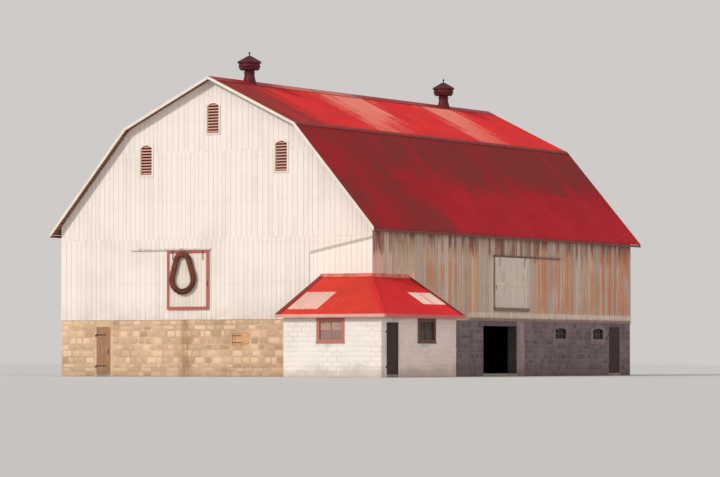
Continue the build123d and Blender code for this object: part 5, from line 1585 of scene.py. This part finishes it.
class BARN_OT_wreath(bpy.types.Operator):
    """Wreath of bound twigs and leaves on the gable door"""
    bl_idname = "barn.wreath"
    bl_label = "Wreath"
    leaves = 2200
    core, depth = 0.095, 0.105

    def execute(self, context):
        low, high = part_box("door_wreath")
        path = self.path((low.x + high.x) / 2, low.z, high.z, (high.x - low.x) / 2, 160)
        ahead = np.roll(path, -1, axis=0) - np.roll(path, 1, axis=0)
        ahead /= np.linalg.norm(ahead, axis=1)[:, None]
        across = np.stack([ahead[:, 1], -ahead[:, 0]], -1)
        shells, face, b = Shells(), Face((0, high.y, 0), (1, 0, 0)), turn(8)
        wave = self.core * (1 + 0.12 * np.sin(np.arange(len(path)) * 1.7))[:, None]
        u, v = (path[:, i, None] + across[:, i, None] * wave * np.cos(b) for i in (0, 1))
        rings = face.at(u, v, self.depth + wave * np.sin(b) * 0.95)
        shells.tubes(rings[None], (0.1, 0.5, 0.5, 0.1), loop=True)
        self.add_leaves(shells, face, path, ahead, across)
        shells.piece("wreath_leaves", twig_finish("wreath_twigs"), "wreath_twigs", stands_for=["door_wreath"])
        return {"FINISHED"}

    def path(self, middle, foot, head, half, count):
        """Pear outline in even steps: a large arc below and a small one above, joined by their tangents."""
        inset, small = 0.15, 0.31
        large = half - inset
        low_z, high_z = foot + inset + large, head - inset - small
        lean = math.asin((large - small) / (high_z - low_z))

        def arc(z, radius, start, end, points):
            a = np.linspace(start, end, points)
            return np.stack([middle + radius * np.cos(a), z + radius * np.sin(a)], -1)

        low, high = arc(low_z, large, -math.pi - lean, lean, 64), arc(high_z, small, lean, math.pi - lean, 40)
        loop = np.concatenate([low, high, low[:1]])
        run = np.concatenate([[0], np.cumsum(np.linalg.norm(np.diff(loop, axis=0), axis=1))])
        even = np.linspace(0, run[-1], count + 1)[:-1]
        return np.stack([np.interp(even, run, line) for line in loop.T], -1)

    def add_leaves(self, shells, face, path, ahead, across):
        """Narrow leaves laid along the ring like shingles: a leaf is a thin diamond of three rows
        that leaves the core at a random place round it and lifts off towards its tip."""
        rng = np.random.default_rng(200)
        at = rng.integers(0, len(path), self.leaves)
        around, length, width, twist, base, tip = (
            rng.uniform(least, most, (self.leaves, 1, 1)) for least, most in (
                (-0.15, math.pi + 0.15), (0.06, 0.12), (0.016, 0.032), (-0.6, 0.6), (0.06, 0.09),
                (0.115, 0.15))
        )
        t, spread = np.array([[[0], [0.45], [1]]]), np.array([[[0.35], [1], [0.12]]])
        radius = base + (tip - base) * t
        angle = around + np.array([-1, 1]) * spread * (width / 0.10) + twist * t * 0.5
        forward = length * t * np.cos(twist)
        u, v = (
            path[at, i, None, None] + across[at, i, None, None] * radius * np.cos(angle)
            + ahead[at, i, None, None] * forward for i in (0, 1)
        )
        out = np.clip(self.depth + radius * np.sin(angle), 0.004, 0.256)
        lay = lay_of(rng.random((self.leaves, 1, 1)), 0.5, 0.5, 0.1)
        shells.slabs(face.at(u, v, out), face.at(u, v, out - 0.003), lay)


def round_axis(radius, angle, y, z):
    """Points at a radius and angle round the upright line through y on the ridge, at height z."""
    return np.stack(np.broadcast_arrays(radius * np.cos(angle), y + radius * np.sin(angle), z), -1)


class BARN_OT_ventilators(bpy.types.Operator):
    """Seams, bands and braces on the two ridge ventilators"""
    bl_idname = "barn.ventilators"
    bl_label = "Ventilators"

    def execute(self, context):
        # Painted shade: the ventilators' red paint is darkened.
        shaded_maroon = sheet_metal_finish("ventilator_maroon", context.scene.barn_colours.shaded_maroon, 0.45)
        section = ((-0.012, -0.006), (0, -0.014), (0.006, 0), (0, 0.014), (-0.012, 0.006))
        for place in ("near", "far"):
            dress(f"ventilator_{place}", shaded_maroon)
            low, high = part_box(f"ventilator_{place}")
            y, top = (low.y + high.y) / 2, high.z
            foot = top - 0.755
            shells = Shells()
            for level, radius in ((foot + 0.145, 0.462), (foot - 0.155, 0.228), (foot - 0.02, 0.22)):
                rings = [round_axis(radius + r, turn(32), y, level + h) for r, h in section]
                shells.tubes(np.stack(rings, 1)[None], loop=True)
            self.spokes(shells, y, 4, 0.014, (0.21, foot - 0.16), (0.385, foot + 0.012), 0.004, 0.004,
                        level=True)
            for half, proud, start, end in (
                (0.006, 0.012, (0.06, top - 0.176), (0.503, foot + 0.331)),
                (0.005, 0.006, (0.4535, foot + 0.162), (0.4315, foot + 0.304)),
                (0.005, 0.006, (0.407, foot + 0.003), (0.4515, foot + 0.132)),
            ):
                self.spokes(shells, y, 12, half, start, end, proud, 0.006)
            shells.piece(f"ventilator_bands_{place}", shaded_maroon, "ventilator_metal")
        return {"FINISHED"}

    def spokes(self, shells, y, count, half, start, end, above, below, level=False):
        """Braces and standing seams: flat bars at even angles from one radius and height to another,
        thick along their own normal, or straight up if level."""
        a = (np.arange(count) + 0.5) * 2 * math.pi / count
        aside = round_axis(half, a + math.pi / 2, 0, 0)
        grid = np.stack([
            np.stack([round_axis(radius, a, y, z) + sign * aside for sign in (-1, 1)], 1)
            for radius, z in (start, end)
        ], 1)
        run = math.copysign(math.dist(start, end), start[1] - end[1])
        lean, rise = (0, 1) if level else ((start[1] - end[1]) / run, (end[0] - start[0]) / run)
        normal = round_axis(lean, a, 0, rise)[:, None, None]
        shells.slabs(grid + above * normal, grid - below * normal)


class BARN_OT_finishes(bpy.types.Operator):
    """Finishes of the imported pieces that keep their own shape"""
    bl_idname = "barn.finishes"
    bl_label = "Finishes"

    def execute(self, context):
        colours = context.scene.barn_colours
        bare, timber = times(colours.grey_board, 0.7), colours.timber
        tan_stone, grey_stone = colours.tan_stone, colours.grey_stone
        choices = (
            (timber_finish("timber_posts", timber, "z"), "stable_posts wall_posts loft_posts"),
            (timber_finish("timber_beams", timber, "x"), "floor_beams tie_beams"),
            (timber_finish("timber_joists", timber, "y"),
             "floor_joists sill_beams plates_and_purlins rafters main_floor"),
            (mortar_finish("tan_mortar", times(tan_stone, 0.92), 0.35),
             "front_foundation_left front_foundation_right"),
            (mortar_finish("grey_mortar", times(grey_stone, 1.3)), "left_foundation rear_foundation "
             "right_foundation_near right_foundation_far right_foundation_corner"),
            (lintel_finish("lintels", times(tan_stone, 0.9), times(grey_stone, 0.8)), "foundation_lintels"),
            (mortar_finish("floor_slab", srgb(150, 142, 132), 0.2), "stable_floor annex_floor"),
            (mortar_finish("pier_parging", srgb(160, 140, 138), 0.8, scale=2.2, reveal_shade=0.25),
             "right_foundation_pier"),
            (mortar_finish("limewash_joints", times(colours.white_wash, 0.94), 0.45), "annex_front_wall "
             "annex_side_wall_near annex_side_wall_head annex_side_wall_far annex_end_walls"),
            (mortar_finish("window_surround", srgb(140, 122, 122), 0.5, scale=2.5, reveal_shade=0.3),
             "stable_window_frames"),
            (glass_finish("window_glass"), "window_glass"),
            (ridge_finish("ridge_red", times(colours.shaded_deep_red, 0.75), colours.faded_roof), "ridge_cap"),
            (paint_finish("barge_paint", colours.white_paint, bare, 0.2, "x"), "barge_boards"),
            # The annex fascia's darker side colour is painted shade.
            (paint_finish("fascia_paint", srgb(226, 160, 146), bare, axis="x", shaded_side_colour=srgb(206, 104, 98)),
             "annex_fascia"),
            (window_finish("annex_window_paint"), "annex_window_frames"),
        )
        for finish, nodes in choices:
            for node in nodes.split():
                dress(node, finish)
        return {"FINISHED"}


class BARN_OT_stage(bpy.types.Operator):
    """Floor, lights, world and camera"""
    bl_idname = "barn.stage"
    bl_label = "Stage"

    def execute(self, context):
        scene, stage = context.scene, context.scene.barn_stage
        scene.view_settings.view_transform = "Standard"
        self.floor(scene, stage)
        self.world(scene, stage)
        for name, towards, strength, angle in (
            ("main_light", (-0.22, -0.82, 0.45), stage.sun, 7),
            ("fill_light", (0.86, -0.5, 0.1), stage.fill, 40),
        ):
            lamp = bpy.data.lights.new(name, "SUN")
            lamp.energy, lamp.angle = strength, math.radians(angle)
            self.placed(scene, name, lamp, Vector(towards).to_track_quat("Z", "Y"))
        lens = bpy.data.cameras.new("camera")
        lens.lens, lens.clip_end = stage.lens, 3000
        sight = Vector(stage.aim) - Vector(stage.camera)
        scene.camera = self.placed(scene, "camera", lens, sight.to_track_quat("-Z", "Y"), stage.camera)
        return {"FINISHED"}

    def placed(self, scene, name, data, facing, place=(0, 0, 0)):
        """A lamp or camera, turned and set in its place."""
        made = bpy.data.objects.new(name, data)
        made.location, made.rotation_mode, made.rotation_quaternion = place, "QUATERNION", facing
        scene.collection.objects.link(made)
        return made

    def floor(self, scene, stage):
        """A wide pale square just under the barn."""
        reach, drop = 900, -0.004
        corners = [(reach * x, reach * y, drop) for x, y in ((-1, -1), (1, -1), (1, 1), (-1, 1))]
        mesh = bpy.data.meshes.new("floor")
        mesh.from_pydata(corners, [], [(0, 1, 2, 3)])
        floor = bpy.data.objects.new("floor", mesh)
        scene.collection.objects.link(floor)
        f = Finish("floor_pale", 0.95)
        mesh.materials.append(f.done(f.tones(f.cloud(0.6, 3, 0.55), stage.backdrop, 1.12, 1.16)))

    def world(self, scene, stage):
        """Even light, and the backdrop's colour where the camera or a reflection sees it."""
        world = bpy.data.worlds.new("studio")
        world.use_nodes = True
        nodes, links = world.node_tree.nodes, world.node_tree.links
        light, seen = nodes["Background"], nodes.new("ShaderNodeBackground")
        light.inputs["Color"].default_value = (1, 0.985, 0.965, 1)
        light.inputs["Strength"].default_value = stage.ambient
        seen.inputs["Color"].default_value = (*stage.backdrop, 1)
        path, mix = nodes.new("ShaderNodeLightPath"), nodes.new("ShaderNodeMixShader")
        rays = path.outputs["Is Camera Ray"]
        for kind in ("Is Glossy Ray", "Is Transmission Ray"):
            either = nodes.new("ShaderNodeMath")
            either.operation = "MAXIMUM"
            links.new(rays, either.inputs[0])
            links.new(path.outputs[kind], either.inputs[1])
            rays = either.outputs[0]
        for socket, source in enumerate((rays, light.outputs[0], seen.outputs[0])):
            links.new(source, mix.inputs[socket])
        links.new(mix.outputs[0], nodes["World Output"].inputs["Surface"])
        scene.world = world


OPERATORS = (
    BARN_OT_finishes, BARN_OT_board_walls, BARN_OT_stonework, BARN_OT_roofing, BARN_OT_annex, BARN_OT_vents,
    BARN_OT_windows, BARN_OT_hinged_doors, BARN_OT_sliding_doors, BARN_OT_wreath, BARN_OT_ventilators,
    BARN_OT_stage,
)
GROUPS = {
    "barn_boards": BarnBoards, "barn_masonry": BarnMasonry, "barn_roofing": BarnRoofing,
    "barn_colours": BarnColours, "barn_stage": BarnStage,
}


class BARN_PT_panel(bpy.types.Panel):
    """Lists the steps that dress the barn, and their sizes"""
    bl_idname = "BARN_PT_panel"
    bl_label = "Barn"
    bl_space_type = "VIEW_3D"
    bl_region_type = "UI"
    bl_category = "Barn"

    def draw(self, context):
        for group, kind in GROUPS.items():
            for key in kind.__annotations__:
                self.layout.prop(getattr(context.scene, group), key)
        for operator in OPERATORS:
            self.layout.operator(operator.bl_idname)


def register():
    for kind in (*GROUPS.values(), *OPERATORS, BARN_PT_panel):
        bpy.utils.register_class(kind)
    for key, kind in GROUPS.items():
        setattr(bpy.types.Scene, key, PointerProperty(type=kind))


def unregister():
    for key in GROUPS:
        delattr(bpy.types.Scene, key)
    for kind in reversed((*GROUPS.values(), *OPERATORS, BARN_PT_panel)):
        bpy.utils.unregister_class(kind)


def main():
    register()
    for operator in OPERATORS:
        group, name = operator.bl_idname.split(".")
        getattr(getattr(bpy.ops, group), name)()


if __name__ == "__main__":
    main()
